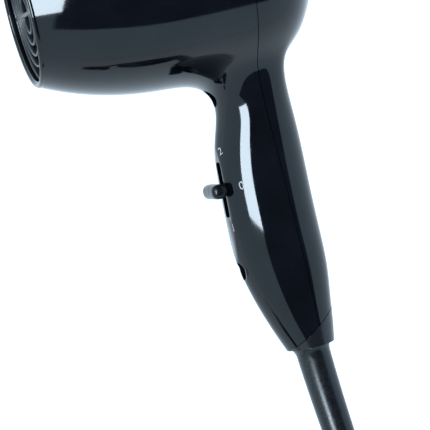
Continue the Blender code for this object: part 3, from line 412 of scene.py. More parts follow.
def add_barrel(cage, rows, first):
    """The barrel's cage with a hole for the handle; gives its grid of points."""
    spread = 3 / (2 + cos(2 * pi / SEGMENTS))
    grid = []
    for x in rows:
        radius = barrel_radius(x) * spread
        turn = around(SEGMENTS, -pi / 2)
        grid.append([cage.verts.new((x, radius * cos(a), radius * sin(a))) for a in turn])
    for i in range(len(rows) - 1):
        for k in range(SEGMENTS):
            in_root = first <= i < first + 4 and (k < 2 or k >= SEGMENTS - 2)
            if not in_root:
                n = (k + 1) % SEGMENTS
                cage.faces.new((grid[i][k], grid[i][n], grid[i + 1][n], grid[i + 1][k]))
    return grid


def root_edge(grid, first):
    """The hole's points in the order of the handle's section."""
    across = [SEGMENTS - 2, SEGMENTS - 1, 0, 1, 2]
    edge = [grid[first + 4][k] for k in across[2:]]
    edge += [grid[first + i][across[4]] for i in (3, 2, 1)]
    edge += [grid[first][k] for k in across[::-1]]
    edge += [grid[first + i][across[0]] for i in (1, 2, 3)]
    return edge + [grid[first + 4][k] for k in across[:2]]


def handle_rings(edge):
    """Places of the handle's rings, from the fillet's middle to the handle's end."""
    spread = 3 / (2 + cos(2 * pi / SECTION))
    rings = []
    for row in HANDLE_FORM:
        depth = free_top() + (form().handle_end - free_top()) * row[0]
        places = [section_point(*handle_lines(depth), angle, spread) for angle in around(SECTION)]
        rings.append([Vector((x, y, -depth)) for x, y in places])
    middle = []
    for vert, point in zip(edge, rings[0]):
        height = sqrt(max(barrel_radius(point.x) ** 2 - point.y ** 2, 0.0))
        corner = Vector((point.x, point.y, -height))
        middle.append((vert.co + 2 * corner + point) / 4)
    return [middle, *rings]


def skin():
    """The smooth outer surface of barrel and handle, open at its three ends."""
    cage = bmesh.new()
    rows, first = barrel_rows()
    grid = add_barrel(cage, rows, first)
    previous = root_edge(grid, first)
    for ring in handle_rings(previous):
        current = [cage.verts.new(point) for point in ring]
        for k in range(SECTION):
            n = (k + 1) % SECTION
            cage.faces.new((previous[k], previous[n], current[n], current[k]))
        previous = current
    bmesh.ops.recalc_face_normals(cage, faces=cage.faces)
    made = to_object("skin", cage, Matrix())
    step = made.modifiers.new("rounded", "SUBSURF")
    step.levels = step.render_levels = form().smoothness
    bake(made)
    smooth = bmesh.new()
    smooth.from_mesh(made.data)
    bpy.data.objects.remove(made, do_unlink=True)
    return smooth


# ---- making meshes ----

def add_object(name, data, place=None):
    """A new object in the scene, at a place if one is given."""
    made = bpy.data.objects.new(name, data)
    if place:
        made.matrix_world = place
    bpy.context.scene.collection.objects.link(made)
    return made


def join(shape, other):
    """Add one bmesh to another, and free it."""
    spare = bpy.data.meshes.new("spare")
    other.to_mesh(spare)
    other.free()
    shape.from_mesh(spare)
    bpy.data.meshes.remove(spare)


def to_object(name, shape, place):
    """An object at the origin from a bmesh, whose points are moved by place."""
    shape.transform(place)
    mesh = bpy.data.meshes.new(name)
    shape.to_mesh(mesh)
    shape.free()
    mesh.shade_smooth()
    return add_object(name, mesh)


def bake(made):
    """Give an object the mesh that its modifiers make."""
    graph = bpy.context.evaluated_depsgraph_get()
    old = made.data
    mesh = bpy.data.meshes.new_from_object(made.evaluated_get(graph))
    made.modifiers.clear()
    made.data = mesh
    bpy.data.meshes.remove(old)
    return made


def cut(made, cutters):
    """Cut other objects out of one, and remove them."""
    for cutter in cutters:
        step = made.modifiers.new("cut", "BOOLEAN")
        step.object = cutter
    bake(made)
    for cutter in cutters:
        bpy.data.objects.remove(cutter, do_unlink=True)
    return made


def soften(made, width, segments=3, angle=38.0):
    """Round an object's edges and keep its faces' own shading."""
    step = made.modifiers.new("rounded", "BEVEL")
    step.width = width
    step.segments = segments
    step.limit_method = "ANGLE"
    step.angle_limit = radians(angle)
    step.harden_normals = True
    step.use_clamp_overlap = True
    return bake(made)


def crease(made, angle=35.0):
    """Shade smooth, but for edges sharper than an angle."""
    made.data.shade_smooth()
    made.data.set_sharp_from_angle(angle=radians(angle))
    return made


def box(low, high):
    """A bmesh box between two corners."""
    shape = bmesh.new()
    size = [b - a for a, b in zip(low, high)]
    middle = Matrix.Translation([(a + b) / 2 for a, b in zip(low, high)])
    bmesh.ops.create_cube(shape, size=1.0, matrix=middle @ Matrix.Diagonal((*size, 1.0)))
    return shape


def rounded_bar(low, high, edge):
    """A bmesh box whose edges along Y are rounded."""
    shape = box(low, high)
    along = [e for e in shape.edges if abs(e.verts[0].co.y - e.verts[1].co.y) > edge]
    bmesh.ops.bevel(shape, geom=along, offset=edge, segments=6, affect="EDGES", profile=0.5)
    return shape


def add_lathe(shape, outline, steps, closed=True):
    """Turn an outline of (x, radius) points round the X axis into a bmesh."""
    rows = []
    for x, radius in outline:
        if radius == 0.0:
            rows.append([shape.verts.new((x, 0.0, 0.0))])
            continue
        rows.append([shape.verts.new((x, radius * cos(a), radius * sin(a))) for a in around(steps)])
    pairs = list(zip(rows, rows[1:] + rows[:1])) if closed else list(zip(rows, rows[1:]))
    for low, high in pairs:
        for k in range(steps):
            n = (k + 1) % steps
            corners = [low[k % len(low)], low[n % len(low)], high[n % len(high)], high[k % len(high)]]
            shape.faces.new(list(dict.fromkeys(corners)))
    return shape


def bead(x, radius, along, across, power=2.6, sides=14):
    """A closed rounded outline for a ring: its middle and its two half sizes."""
    return [(x + along * squarer(cos(a), 2 / power), radius + across * squarer(sin(a), 2 / power))
            for a in around(sides)]


def add_loft(shape, rings, close=True):
    """Join rings of equally many points into a bmesh."""
    rows = [[shape.verts.new(point) for point in ring] for ring in rings]
    count = len(rows[0])
    for low, high in zip(rows, rows[1:]):
        for k in range(count):
            n = (k + 1) % count
            shape.faces.new((low[k], low[n], high[n], high[k]))
    if close:
        shape.faces.new(rows[0][::-1])
        shape.faces.new(rows[-1])
    return shape


def face_outward(shape):
    """Turn a bmesh's faces outward."""
    bmesh.ops.recalc_face_normals(shape, faces=shape.faces)
    return shape


def smooth_path(route, spacing):
    """Points at an even spacing along a smooth curve through the route's points."""
    knots = [Vector(point) for point in route]
    padded = [2 * knots[0] - knots[1], *knots, 2 * knots[-1] - knots[-2]]
    fine = []
    for a, b, c, d in zip(padded, padded[1:], padded[2:], padded[3:]):
        for step in range(12):
            u = step / 12
            fine.append(0.5 * (2 * b + (c - a) * u + (2 * a - 5 * b + 4 * c - d) * u ** 2
                               + (3 * b - a - 3 * c + d) * u ** 3))
    fine.append(knots[-1])
    length = sum((q - p).length for p, q in zip(fine, fine[1:]))
    count = max(2, round(length / spacing))
    picked = [fine[0]]
    walked = 0.0
    for p, q in zip(fine, fine[1:]):
        piece = (q - p).length
        while len(picked) < count and walked + piece >= len(picked) * length / count:
            picked.append(p.lerp(q, (len(picked) * length / count - walked) / piece))
        walked += piece
    picked.append(fine[-1])
    return picked


def wire(name, points, radius, sides=3):
    """A round wire through points, as a curve object."""
    data = bpy.data.curves.new(name, "CURVE")
    data.dimensions = "3D"
    data.bevel_depth = radius
    data.bevel_resolution = sides
    data.use_fill_caps = True
    line = data.splines.new("POLY")
    line.points.add(len(points) - 1)
    for k, point in enumerate(points):
        line.points[k].co = (*point, 1.0)
    line.use_smooth = True
    return add_object(name, data)


def end_plane():
    """A point and the downward normal of the shells' slanted lower edge, upright."""
    front, _, _ = handle_lines(form().end_front)
    slope = form().end_slope
    return Vector((front, 0.0, -form().end_front)), Vector((sin(slope), 0.0, -cos(slope)))


def trim(shape, point, normal):
    """Remove what lies on a plane's far side."""
    geometry = shape.verts[:] + shape.edges[:] + shape.faces[:]
    bmesh.ops.bisect_plane(shape, geom=geometry, plane_co=point, plane_no=normal, clear_outer=True)


# ---- finishes ----

def add_node(tree, kind, settings=None, **inputs):
    """Add a node, set its properties, and set or link its inputs, by name or as i0, i1 and so on."""
    made = tree.nodes.new(kind)
    for key, value in (settings or {}).items():
        setattr(made, key, value)
    for key, value in inputs.items():
        numbered = key[0] == "i" and key[1:].isdigit()
        socket = made.inputs[int(key[1:]) if numbered else key.replace("_", " ")]
        if isinstance(value, bpy.types.NodeSocket):
            tree.links.new(value, socket)
        else:
            socket.default_value = value
    return made


class Finish:
    """A Principled material being built from nodes."""

    def __init__(self, name, color, roughness, metallic=0.0, **more):
        """Start with uniform values on the shader's own sockets."""
        self.material = bpy.data.materials.new(name)
        self.material.use_nodes = True
        self.tree = self.material.node_tree
        self.shader = self.tree.nodes["Principled BSDF"]
        self.shader.inputs["Base Color"].default_value = (*color, 1.0)
        self.shader.inputs["Roughness"].default_value = roughness
        self.shader.inputs["Metallic"].default_value = metallic
        for socket, value in more.items():
            self.shader.inputs[socket.replace("_", " ")].default_value = value
        self.place = self.tree.nodes.new("ShaderNodeTexCoord").outputs["Object"]
        self.normal = None

    def node(self, kind, settings=None, **inputs):
        """Add a node to the material."""
        return add_node(self.tree, kind, settings, **inputs)

    def noise(self, scale, stretch=(1.0, 1.0, 1.0), detail=4.0, rough=0.5, turn=(0.0, 0.0, 0.0)):
        """A noise pattern at a scale in waves per metre."""
        place = self.node("ShaderNodeMapping", Vector=self.place, Scale=stretch, Rotation=turn).outputs[0]
        made = self.node("ShaderNodeTexNoise", Vector=place, Scale=scale, Detail=detail, Roughness=rough)
        return made.outputs["Fac"]

    def cells(self, scale, stretch=(1.0, 1.0, 1.0)):
        """A cell pattern at a scale in cells per metre."""
        place = self.node("ShaderNodeMapping", Vector=self.place, Scale=stretch).outputs[0]
        return self.node("ShaderNodeTexVoronoi", Vector=place, Scale=scale).outputs["Distance"]

    def spread(self, value, low, high, start=0.35, end=0.65):
        """Spread a pattern over a range of values."""
        made = self.node("ShaderNodeMapRange", Value=value, From_Min=start, From_Max=end,
                         To_Min=low, To_Max=high)
        return made.outputs[0]

    def times(self, first, second, operation="MULTIPLY"):
        """Combine two patterns."""
        return self.node("ShaderNodeMath", {"operation": operation}, i0=first, i1=second).outputs[0]

    def tint(self, factor, first, second):
        """A colour between two, by a pattern; colours may be sockets."""
        made = self.node("ShaderNodeMix", {"data_type": "RGBA"}, Factor=factor)
        for index, color in ((6, first), (7, second)):
            if isinstance(color, bpy.types.NodeSocket):
                self.tree.links.new(color, made.inputs[index])
            else:
                made.inputs[index].default_value = (*color, 1.0)
        return made.outputs[2]

    def use(self, socket, value):
        """Drive one of the shader's sockets with a pattern."""
        self.tree.links.new(value, self.shader.inputs[socket])
        return self

    def bump(self, height, distance, strength=1.0):
        """Add relief of a height in metres over earlier relief."""
        made = self.node("ShaderNodeBump", Height=height, Distance=distance, Strength=strength)
        if self.normal:
            self.tree.links.new(self.normal, made.inputs["Normal"])
        self.normal = made.outputs[0]
        self.tree.links.new(self.normal, self.shader.inputs["Normal"])
        return self

    def edges(self, bend):
        """A pattern that is 1 on edges at least as sharp as bend, for their wear."""
        geometry = self.node("ShaderNodeNewGeometry").outputs["Pointiness"]
        return self.spread(geometry, 0.0, 1.0, 0.5 + bend * 0.5, 0.5 + bend)

    def mottled(self, color, scale, dark, pale, detail=4.0):
        """A colour that varies a little from place to place."""
        clouds = self.spread(self.noise(scale, detail=detail), 0.0, 1.0)
        return self.tint(clouds, shade(color, dark), shade(color, pale))


def shade(color, factor):
    """A colour made lighter or darker."""
    return tuple(min(1.0, c * factor) for c in color)


def gloss_black():
    """Polished black plastic: faint mould waves, hair-fine scratches and a little dust."""
    c = tuple(colors().gloss_black)
    made = Finish("gloss_black", c, 0.05, IOR=1.36)
    made.use("Base Color", made.mottled(c, 60.0, 0.7, 1.5, 3.0))
    scratches = made.noise(260.0, (1.0, 14.0, 1.0), 6.0, 0.7, (0.4, 0.2, 0.9))
    fine = made.spread(scratches, 0.0, 0.05, 0.60, 0.78)
    haze = made.spread(made.noise(90.0, detail=5.0, rough=0.6), 0.035, 0.085)
    made.use("Roughness", made.times(haze, fine, "ADD"))
    made.bump(made.noise(45.0, detail=1.0), 0.00022, 0.32)
    made.bump(made.noise(900.0, detail=2.0), 0.000006, 0.25)
    return made.material


def satin_black(name="satin_black", factor=1.0, roughness=0.36, ior=1.38):
    """Fine-textured black plastic, polished a little at its edges."""
    c = shade(tuple(colors().satin_black), factor)
    made = Finish(name, c, roughness, IOR=ior)
    grain = made.noise(2600.0, detail=3.0)
    made.use("Base Color", made.mottled(c, 140.0, 0.8, 1.35))
    rough = made.spread(made.noise(300.0), roughness - 0.06, roughness + 0.08)
    made.use("Roughness", made.times(rough, made.times(made.edges(0.06), 0.10), "SUBTRACT"))
    made.bump(grain, 0.00004, 0.5)
    return made.material


def sheath_black(name="sheath_black", roughness=0.30):
    """Soft black sheath: faint waves, scuffs and a trace of dust."""
    c = tuple(colors().sheath_black)
    made = Finish(name, c, roughness, IOR=1.38)
    dust = made.spread(made.noise(1500.0, detail=6.0, rough=0.6), 0.0, 0.10, 0.60, 0.85)
    base = made.mottled(c, 80.0, 0.75, 1.3)
    made.use("Base Color", made.tint(dust, base, shade(c, 3.2)))
    made.use("Roughness", made.spread(made.noise(700.0, detail=6.0), roughness - 0.03, roughness + 0.08))
    made.bump(made.noise(120.0, detail=2.0), 0.0001, 0.2)
    made.bump(made.noise(3000.0, detail=2.0), 0.000006, 0.15)
    return made.material


def grille_black():
    """Heat-proof black plastic of the grilles, greyed a little by dust in patches."""
    c = tuple(colors().grille_black)
    made = Finish("grille_black", c, 0.30, IOR=1.52)
    dust = made.spread(made.noise(700.0, detail=7.0, rough=0.65), 0.0, 0.55, 0.50, 0.75)
    made.use("Base Color", made.tint(dust, c, shade(c, 2.4)))
    made.use("Roughness", made.spread(made.noise(500.0), 0.22, 0.42))
    made.bump(made.noise(1800.0, detail=3.0), 0.00003, 0.5)
    return made.material


def mica():
    """Heater mica: overlapping flakes, brown where it has been hot."""
    c = tuple(colors().mica)
    made = Finish("mica", c, 0.38, IOR=1.56)
    flakes = made.cells(420.0, (1.0, 1.0, 2.6))
    scorch = made.spread(made.noise(110.0, detail=5.0, rough=0.6), 0.0, 1.0, 0.42, 0.66)
    base = made.tint(made.spread(flakes, 0.0, 1.0, 0.05, 0.65), shade(c, 0.72), shade(c, 1.5))
    made.use("Base Color", made.tint(scorch, base, (0.050, 0.034, 0.024)))
    made.use("Roughness", made.spread(flakes, 0.24, 0.55, 0.05, 0.65))
    made.bump(flakes, 0.00005, 0.7)
    return made.material


def metal(name, color, roughness, streaks=(1.0, 1.0, 1.0), tarnish=(0.5, 0.5, 0.5)):
    """Bare metal: brushed streaks, a slightly uneven polish and tarnish."""
    made = Finish(name, color, roughness, 1.0)
    cloud = made.spread(made.noise(320.0, detail=6.0, rough=0.6), 0.0, 0.6, 0.45, 0.75)
    made.use("Base Color", made.tint(cloud, color, tuple(a * b for a, b in zip(color, tarnish))))
    lines = made.noise(900.0, streaks, 5.0, 0.6)
    made.use("Roughness", made.spread(lines, roughness - 0.08, roughness + 0.12))
    made.bump(lines, 0.00001, 0.4)
    return made.material


def moulded(name, color, roughness=0.42):
    """Plain moulded plastic: soft colour variation, fine grain and a slight orange peel."""
    made = Finish(name, color, roughness, IOR=1.5)
    made.use("Base Color", made.mottled(color, 150.0, 0.86, 1.08))
    made.use("Roughness", made.spread(made.noise(600.0), roughness - 0.07, roughness + 0.09))
    made.bump(made.noise(260.0, detail=2.0), 0.00006, 0.4)
    made.bump(made.noise(2400.0, detail=2.0), 0.00001, 0.4)
    return made.material


def woven_screen():
    """Fine inlet screen: crossing threads, with painted shade in the holes between them, near black for the
    dark seen through the openings.
    """
    c = tuple(colors().grille_black)
    made = Finish("woven_screen", c, 0.5)
    split = made.node("ShaderNodeSeparateXYZ", Vector=made.place)
    threads = []
    for axis in ("Y", "Z"):
        wave = made.times(split.outputs[axis], 5200.0)
        threads.append(made.times(made.times(wave, 0.0, "SINE"), 0.0, "ABSOLUTE"))
    weave = made.times(threads[0], threads[1], "MINIMUM")
    holes_with_painted_shade = made.spread(weave, 1.0, 0.0, 0.25, 0.60)
    # The holes are painted near black: painted shade for the dark seen through the openings, not a colour of
    # the screen.
    made.use("Base Color", made.tint(holes_with_painted_shade, (0.003, 0.003, 0.004), shade(c, 1.6)))
    made.use("Roughness", made.spread(weave, 0.35, 0.8, 0.2, 0.8))
    made.bump(holes_with_painted_shade, 0.00012, 0.8)
    return made.material


def printed_marks():
    """Printed white ink, slightly worn and uneven."""
    c = tuple(colors().marks)
    made = Finish("printed_marks", c, 0.5)
    wear = made.spread(made.noise(3500.0, detail=6.0, rough=0.7), 0.0, 0.7, 0.60, 0.80)
    made.use("Base Color", made.tint(wear, c, shade(c, 0.35)))
    made.use("Roughness", made.spread(made.noise(1500.0), 0.40, 0.62))
    made.bump(made.noise(4000.0), 0.00001, 0.5)
    return made.material


def pale_floor():
    """Plain backlit floor with a barely seen mottle."""
    made = Finish("pale_floor", (0.30, 0.30, 0.30), 0.75, Emission_Strength=1.40)
    mottle = made.spread(made.noise(14.0, detail=3.0), 0.0, 1.0)
    made.use("Base Color", made.tint(mottle, (0.29, 0.29, 0.29), (0.31, 0.31, 0.31)))
    made.use("Emission Color", made.tint(mottle, (0.70, 0.85, 0.99), (0.71, 0.86, 1.0)))
    made.use("Roughness", made.spread(made.noise(40.0), 0.70, 0.82))
    made.bump(made.noise(500.0), 0.00002, 0.3)
    return made.material


def dress(made, finish, body="dryer", stands_for=()):
    """Give a piece its finish and the body that it rides on."""
    made.data.materials.clear()
    made.data.materials.append(finish)
    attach(made, body)
    if stands_for:
        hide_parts(*stands_for)
    return made


def coat(finish, *nodes):
    """Give carried-over nodes a finish."""
    for name in nodes:
        mesh = frame["nodes"][name].data
        mesh.materials.clear()
        mesh.materials.append(finish)


def once(make):
    """A finish that several pieces share, named as the function that makes it."""
    return bpy.data.materials.get(make.__name__) or make()


# ---- operators ----

class DRYER_OT_camera(bpy.types.Operator):
    """Place the camera"""

    bl_idname = "dryer.camera"
    bl_label = "Camera"

    def execute(self, context):
        s = context.scene.dryer_studio
        rig = studio_rig()
        back = rig @ Vector((0.0, 0.0, 1.0))
        data = bpy.data.cameras.new("camera")
        data.lens = s.camera_lens
        data.sensor_width = 36.0
        place = Matrix.Translation(Vector(s.camera_target) + back * s.camera_distance) @ rig.to_4x4()
        context.scene.camera = add_object("camera", data, place)
        return {"FINISHED"}


def coil_path():
    """The coiled stretch: turns inward on the floor, then outward on top of them."""
    c = cord_sizes()
    pitch = c.radius * 2 * COIL_SPACING
    low = COIL_LIFT + c.radius
    inner = c.coil_outer - pitch * c.lower_turns
    upper_turns = COIL_RISE + c.lower_turns
    points = []
    for k in range(round((c.lower_turns + upper_turns) * COIL_STEPS) + 1):
        turns = k / COIL_STEPS
        over = turns - c.lower_turns
        if over < 0:
            radius = c.coil_outer - pitch * turns
            height = low
        else:
            radius = max(inner, inner + pitch * (over - COIL_RISE))
            rise = min(1.0, over / COIL_RISE)
            height = low + pitch * rise * rise * (3 - 2 * rise)
        angle = COIL_START - 2 * pi * turns
        points.append(Vector((c.coil_x + radius * cos(angle), c.coil_y + radius * sin(angle), height)))
    return points


class DRYER_OT_cord(bpy.types.Operator):
    """Lay the cord, coiled and tied, out to its plug"""

    bl_idname = "dryer.cord"
    bl_label = "Cord"

    def execute(self, context):
        c = context.scene.dryer_cord
        coil = coil_path()
        start = smooth_path([*CORD_ROUTE, *CORD_JOIN, coil[0]], CORD_STEP)
        end = smooth_path([coil[-1], COIL_LEAVE, *PLUG_ROUTE], CORD_STEP)
        points = start[:-1] + coil + end[1:]
        cord = wire("cord", points, c.radius, 4)
        dress(cord, once(sheath_black),
              stands_for=("power_cord", "cord_coil", "plug_lead"))
        return {"FINISHED"}


def plug_place():
    """Frame of the plug: +Y runs from the cord to the pins."""
    return Matrix.Translation(PLUG_ENTRY) @ Matrix.Rotation(PLUG_HEADING, 4, "Z")


def plug_section(along, wide, tall, sides=48):
    """One section of the plug: a rounded rectangle across its line."""
    ring = []
    for k in range(sides):
        a = 2 * pi * (k + 0.5) / sides
        ring.append(Vector((wide / 2 * squarer(cos(a), 0.5), along, tall / 2 * squarer(sin(a), 0.5))))
    return ring


class DRYER_OT_plug(bpy.types.Operator):
    """Mould the plug round its two pins"""

    bl_idname = "dryer.plug"
    bl_label = "Plug"

    def execute(self, context):
        c = context.scene.dryer_cord
        length, wide, tall = c.plug_length, c.plug_width, c.plug_tall
        shape = bmesh.new()
        add_loft(shape, [plug_section(length * u, wide * w, tall * t) for u, w, t in PLUG_FORM])
        plug = to_object("plug", face_outward(shape), plug_place())
        cutters = []
        deep, half, edge = GROOVE
        depth, radius, spread = PIN_HOLE
        for side in (-1, 1):
            x = side * wide / 2 * 1.04
            for y in (length * u for u in PLUG_RIBS):
                groove = rounded_bar((x - deep, y - half, -tall), (x + deep, y + half, tall), edge)
                cutters.append(to_object("groove", face_outward(groove), plug_place()))
            outline = [(-depth, 0.0), (-depth, radius), (0.01, radius), (0.01, 0.0)]
            hole = add_lathe(bmesh.new(), outline, 32, False)
            hole.transform(Matrix.Translation((side * spread, length, 0.0)) @ Matrix.Rotation(pi / 2, 4, "Z"))
            cutters.append(to_object("pin_hole", face_outward(hole), plug_place()))
        cut(plug, cutters)
        soften(plug, 0.0003, 2, 50.0)
        dress(plug, once(sheath_black), stands_for=("plug_body",))
        coat(metal("pin_brass", (0.80, 0.63, 0.36), 0.24, (1.0, 12.0, 1.0), (0.72, 0.60, 0.45)),
             "plug_pin_left", "plug_pin_right")
        return {"FINISHED"}


class DRYER_OT_strap(bpy.types.Operator):
    """Strap the coil together"""

    bl_idname = "dryer.strap"
    bl_label = "Coil strap"

    def execute(self, context):
        c = context.scene.dryer_cord
        low, high = (Vector(corner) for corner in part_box("cord_tie"))
        side = 1 if (low.y + high.y) / 2 > c.coil_y else -1
        near = [p for p in coil_path() if low.x - 0.003 < p.x < high.x + 0.003]
        held = [p for p in near if (p.y - c.coil_y) * side > 0]
        reach = c.radius + STRAP_THICKNESS + GAP
        low.y, high.y = min(p.y for p in held) - reach, max(p.y for p in held) + reach
        middle = (low + high) / 2
        half_y, half_z = (high.y - low.y) / 2, (high.z - low.z) / 2
        rings = []
        for a in around(48):
            cy, cz = squarer(cos(a), STRAP_SQUARENESS), squarer(sin(a), STRAP_SQUARENESS)
            outer = Vector((0.0, half_y * cy, half_z * cz))
            inner = Vector((0.0, (half_y - STRAP_THICKNESS) * cy, (half_z - STRAP_THICKNESS) * cz))
            ring = []
            for x, share in ((-0.96, 0.0), (-1.0, 0.5), (-0.96, 1.0), (0.0, 1.08), (0.96, 1.0), (1.0, 0.5),
                             (0.96, 0.0), (0.0, -0.04)):
                point = inner.lerp(outer, min(share, 1.0))
                ring.append(middle + point + Vector((x * (high.x - low.x) / 2, 0.0, 0.0)))
            rings.append(ring)
        shape = add_loft(bmesh.new(), [*rings, rings[0]], close=False)
        bmesh.ops.remove_doubles(shape, verts=shape.verts, dist=0.00001)
        strap = to_object("coil_strap", face_outward(shape), Matrix())
        crease(strap, 40.0)
        dress(strap, satin_black("strap_black", 1.6, 0.55), stands_for=("cord_tie",))
        return {"FINISHED"}


def shell_surface(low_x, high_x):
    """The skin between two planes across the barrel, above the slanted lower edge."""
    shape = skin()
    point, normal = end_plane()
    trim(shape, point - normal * GAP / 2, normal)
    if low_x is not None:
        trim(shape, Vector((low_x, 0.0, 0.0)), Vector((-1.0, 0.0, 0.0)))
    if high_x is not None:
        trim(shape, Vector((high_x, 0.0, 0.0)), Vector((1.0, 0.0, 0.0)))
    return shape


def shell(name, low_x, high_x, cutters):
    """One moulded shell of even wall, with its cuts and softened edges."""
    made = to_object(name, shell_surface(low_x, high_x), lying())
    wall = made.modifiers.new("wall", "SOLIDIFY")
    wall.thickness = form().wall
    wall.offset = -1.0
    wall.use_even_offset = True
    bake(made)
    if cutters:
        cut(made, cutters)
    return soften(made, 0.00022, 2)


def recess(depth):
    """A cutter for the recess over a screw's head."""
    front, _, _ = handle_lines(depth)
    radius = details().recess_radius
    start, back = front - 0.02, front + RECESS_DEPTH
    outline = [(start, 0.0), (start, radius), (back, radius), (back, 0.0)]
    shape = add_lathe(bmesh.new(), outline, 48, False)
    shape.transform(Matrix.Translation((0.0, 0.0, -depth)))
    return to_object("recess", face_outward(shape), lying())


def recess_sleeve(depth):
    """The tube that lines a screw's recess down to its head."""
    front, _, _ = handle_lines(depth)
    radius = details().recess_radius
    start, end = front + LINING_START, front + LINING_END
    outer = radius + LINING_WALL
    floor = end - LINING_FLOOR
    outline = [(start, radius), (start, outer), (end, outer), (end, SCREW_HOLE), (floor, SCREW_HOLE),
               (floor, radius)]
    shape = add_lathe(bmesh.new(), outline, 48)
    shape.transform(Matrix.Translation((0.0, 0.0, -depth)))
    return face_outward(shape)


class DRYER_OT_shells(bpy.types.Operator):
    """Mould the front and rear shells"""

    bl_idname = "dryer.shells"
    bl_label = "Shells"

    def execute(self, context):
        f, d = context.scene.dryer_form, context.scene.dryer_details
        place = lying() @ switch_place()
        half = d.slot_length / 2
        flat = box((-0.03, -0.03, -0.03), (0.0, 0.03, 0.03))
        slot = box((-0.01, -d.slot_width / 2, -half), (0.01, d.slot_width / 2, half))
        bmesh.ops.bevel(slot, geom=[e for e in slot.edges if abs(e.verts[0].co.x - e.verts[1].co.x) > 0.01],
                        offset=0.0016, segments=6, affect="EDGES", profile=0.5)
        cutters = [to_object("flat", face_outward(flat), place), to_object("slot", face_outward(slot), place),
                   recess(d.upper_screw), recess(d.lower_screw)]
        front = shell("front_shell", 0.0, f.seam_x - GAP / 2, cutters)
        finish = once(gloss_black)
        dress(front, finish, stands_for=("front_housing",))
        rear = shell("rear_shell", f.seam_x + GAP / 2, None, [])
        dress(rear, finish, stands_for=("rear_housing",))
        half = 0.0015
        outline = bead(half, barrel_radius(half) - 0.00125, half, 0.0012, 2.2, 20)
        rim = add_lathe(bmesh.new(), outline, 128)
        lip = crease(to_object("outlet_lip", face_outward(rim), lying()), 60.0)
        dress(lip, finish)
        lining = recess_sleeve(d.upper_screw)
        join(lining, recess_sleeve(d.lower_screw))
        sleeves = crease(to_object("screw_recesses", lining, lying()))
        dress(sleeves, once(satin_black))
        return {"FINISHED"}


class DRYER_OT_collar(bpy.types.Operator):
    """Mould the collar that closes the handle's end"""

    bl_idname = "dryer.collar"
    bl_label = "Collar"

    def execute(self, context):
        shape = skin()
        point, normal = end_plane()
        trim(shape, point + normal * GAP / 2, -normal)
        edges = [e for e in shape.edges if e.is_boundary]
        bmesh.ops.holes_fill(shape, edges=edges, sides=0)
        collar = to_object("collar", face_outward(shape), lying())
        soften(collar, 0.0005, 3, 50.0)
        dress(collar, satin_black("collar_black", 0.7, 0.24), stands_for=("cord_collar",))
        return {"FINISHED"}


def sleeve_line():
    """Middle line of the strain relief as it lies: out of the handle, then level on the floor."""
    f, d = form(), details()
    front, back, _ = handle_lines(f.handle_end)
    turn = lying()
    root = turn @ Vector(((front + back) / 2 + 0.0004, 0.0, -f.handle_end - GAP))
    way = turn.to_3x3() @ Vector((sin(d.sleeve_lean), 0.0, -cos(d.sleeve_lean)))
    floor = turn.translation.z - f.barrel_radius
    rise = root.z - floor
    rest = d.sleeve_tip_radius + d.sleeve_clearance
    flat = Vector((way.x, way.y, 0.0))
    slope = way.z / flat.length
    flat.normalize()
    points = []
    for k in range(41):
        u = k / 40
        height = rise * (2 * u ** 3 - 3 * u ** 2 + 1) + slope * d.sleeve_length * (u ** 3 - 2 * u ** 2 + u)
        height += rest * (3 * u ** 2 - 2 * u ** 3)
        lift = Vector((0.0, 0.0, floor + height))
        points.append(Vector((root.x, root.y, 0.0)) + flat * d.sleeve_length * u + lift)
    return points


class DRYER_OT_strain_relief(bpy.types.Operator):
    """Mould the tapered sleeve round the cord's exit"""

    bl_idname = "dryer.strain_relief"
    bl_label = "Strain relief"

    def execute(self, context):
        d = context.scene.dryer_details
        points = sleeve_line()
        rings = []
        last = len(points) - 1
        turn = around(SLEEVE_SIDES)
        for k, point in enumerate(points):
            u = k / last
            way = (points[min(k + 1, last)] - points[max(k - 1, 0)]).normalized()
            radius = d.sleeve_radius + (d.sleeve_tip_radius - d.sleeve_radius) * u
            radius += SLEEVE_LIP * max(0.0, 1 - u / SLEEVE_LIP_REACH) ** 2
            side = Vector((1.0, 0.0, 0.0))
            side = (side - way * side.dot(way)).normalized()
            other = way.cross(side)
            rings.append([point + side * radius * cos(a) + other * radius * sin(a) for a in turn])
        tip, way = points[-1], (points[-1] - points[-2]).normalized()
        for inset, drop in ((0.0005, 0.0001), (0.0020, 0.0001), (0.0024, -0.0010)):
            share = 1 - inset / d.sleeve_tip_radius
            rings.append([tip + way * drop + (p - tip) * share for p in rings[last]])
        shape = add_loft(bmesh.new(), rings)
        sleeve = crease(to_object("sleeve", face_outward(shape), Matrix()), 50.0)
        dress(sleeve, sheath_black("sleeve_black", 0.26), stands_for=("strain_relief",))
        return {"FINISHED"}


class DRYER_OT_outlet(bpy.types.Operator):
    """Make the outlet's grille"""

    bl_idname = "dryer.outlet"
    bl_label = "Outlet grille"

    def execute(self, context):
        f = context.scene.dryer_form
        x = OUTLET_START + OUTLET_DEPTH / 2
        outer = barrel_radius(OUTLET_START) - f.wall * 1.12 - GAP
        shape = bmesh.new()
        add_lathe(shape, bead(x, outer - 0.0008, OUTLET_DEPTH / 2, 0.0008, 4.0), 96)
        for radius in OUTLET_RINGS:
            add_lathe(shape, bead(x, radius, OUTLET_DEPTH / 2, 0.00055, 3.0), 80)
        end = outer - 0.001
        join(shape, rounded_bar((x - 0.0011, -end, -0.0009), (x + 0.0011, end, 0.0009), 0.0006))
        grille = crease(to_object("outlet_rings", face_outward(shape), lying()), 45.0)
        dress(grille, once(grille_black), stands_for=("outlet_grille",))
        return {"FINISHED"}


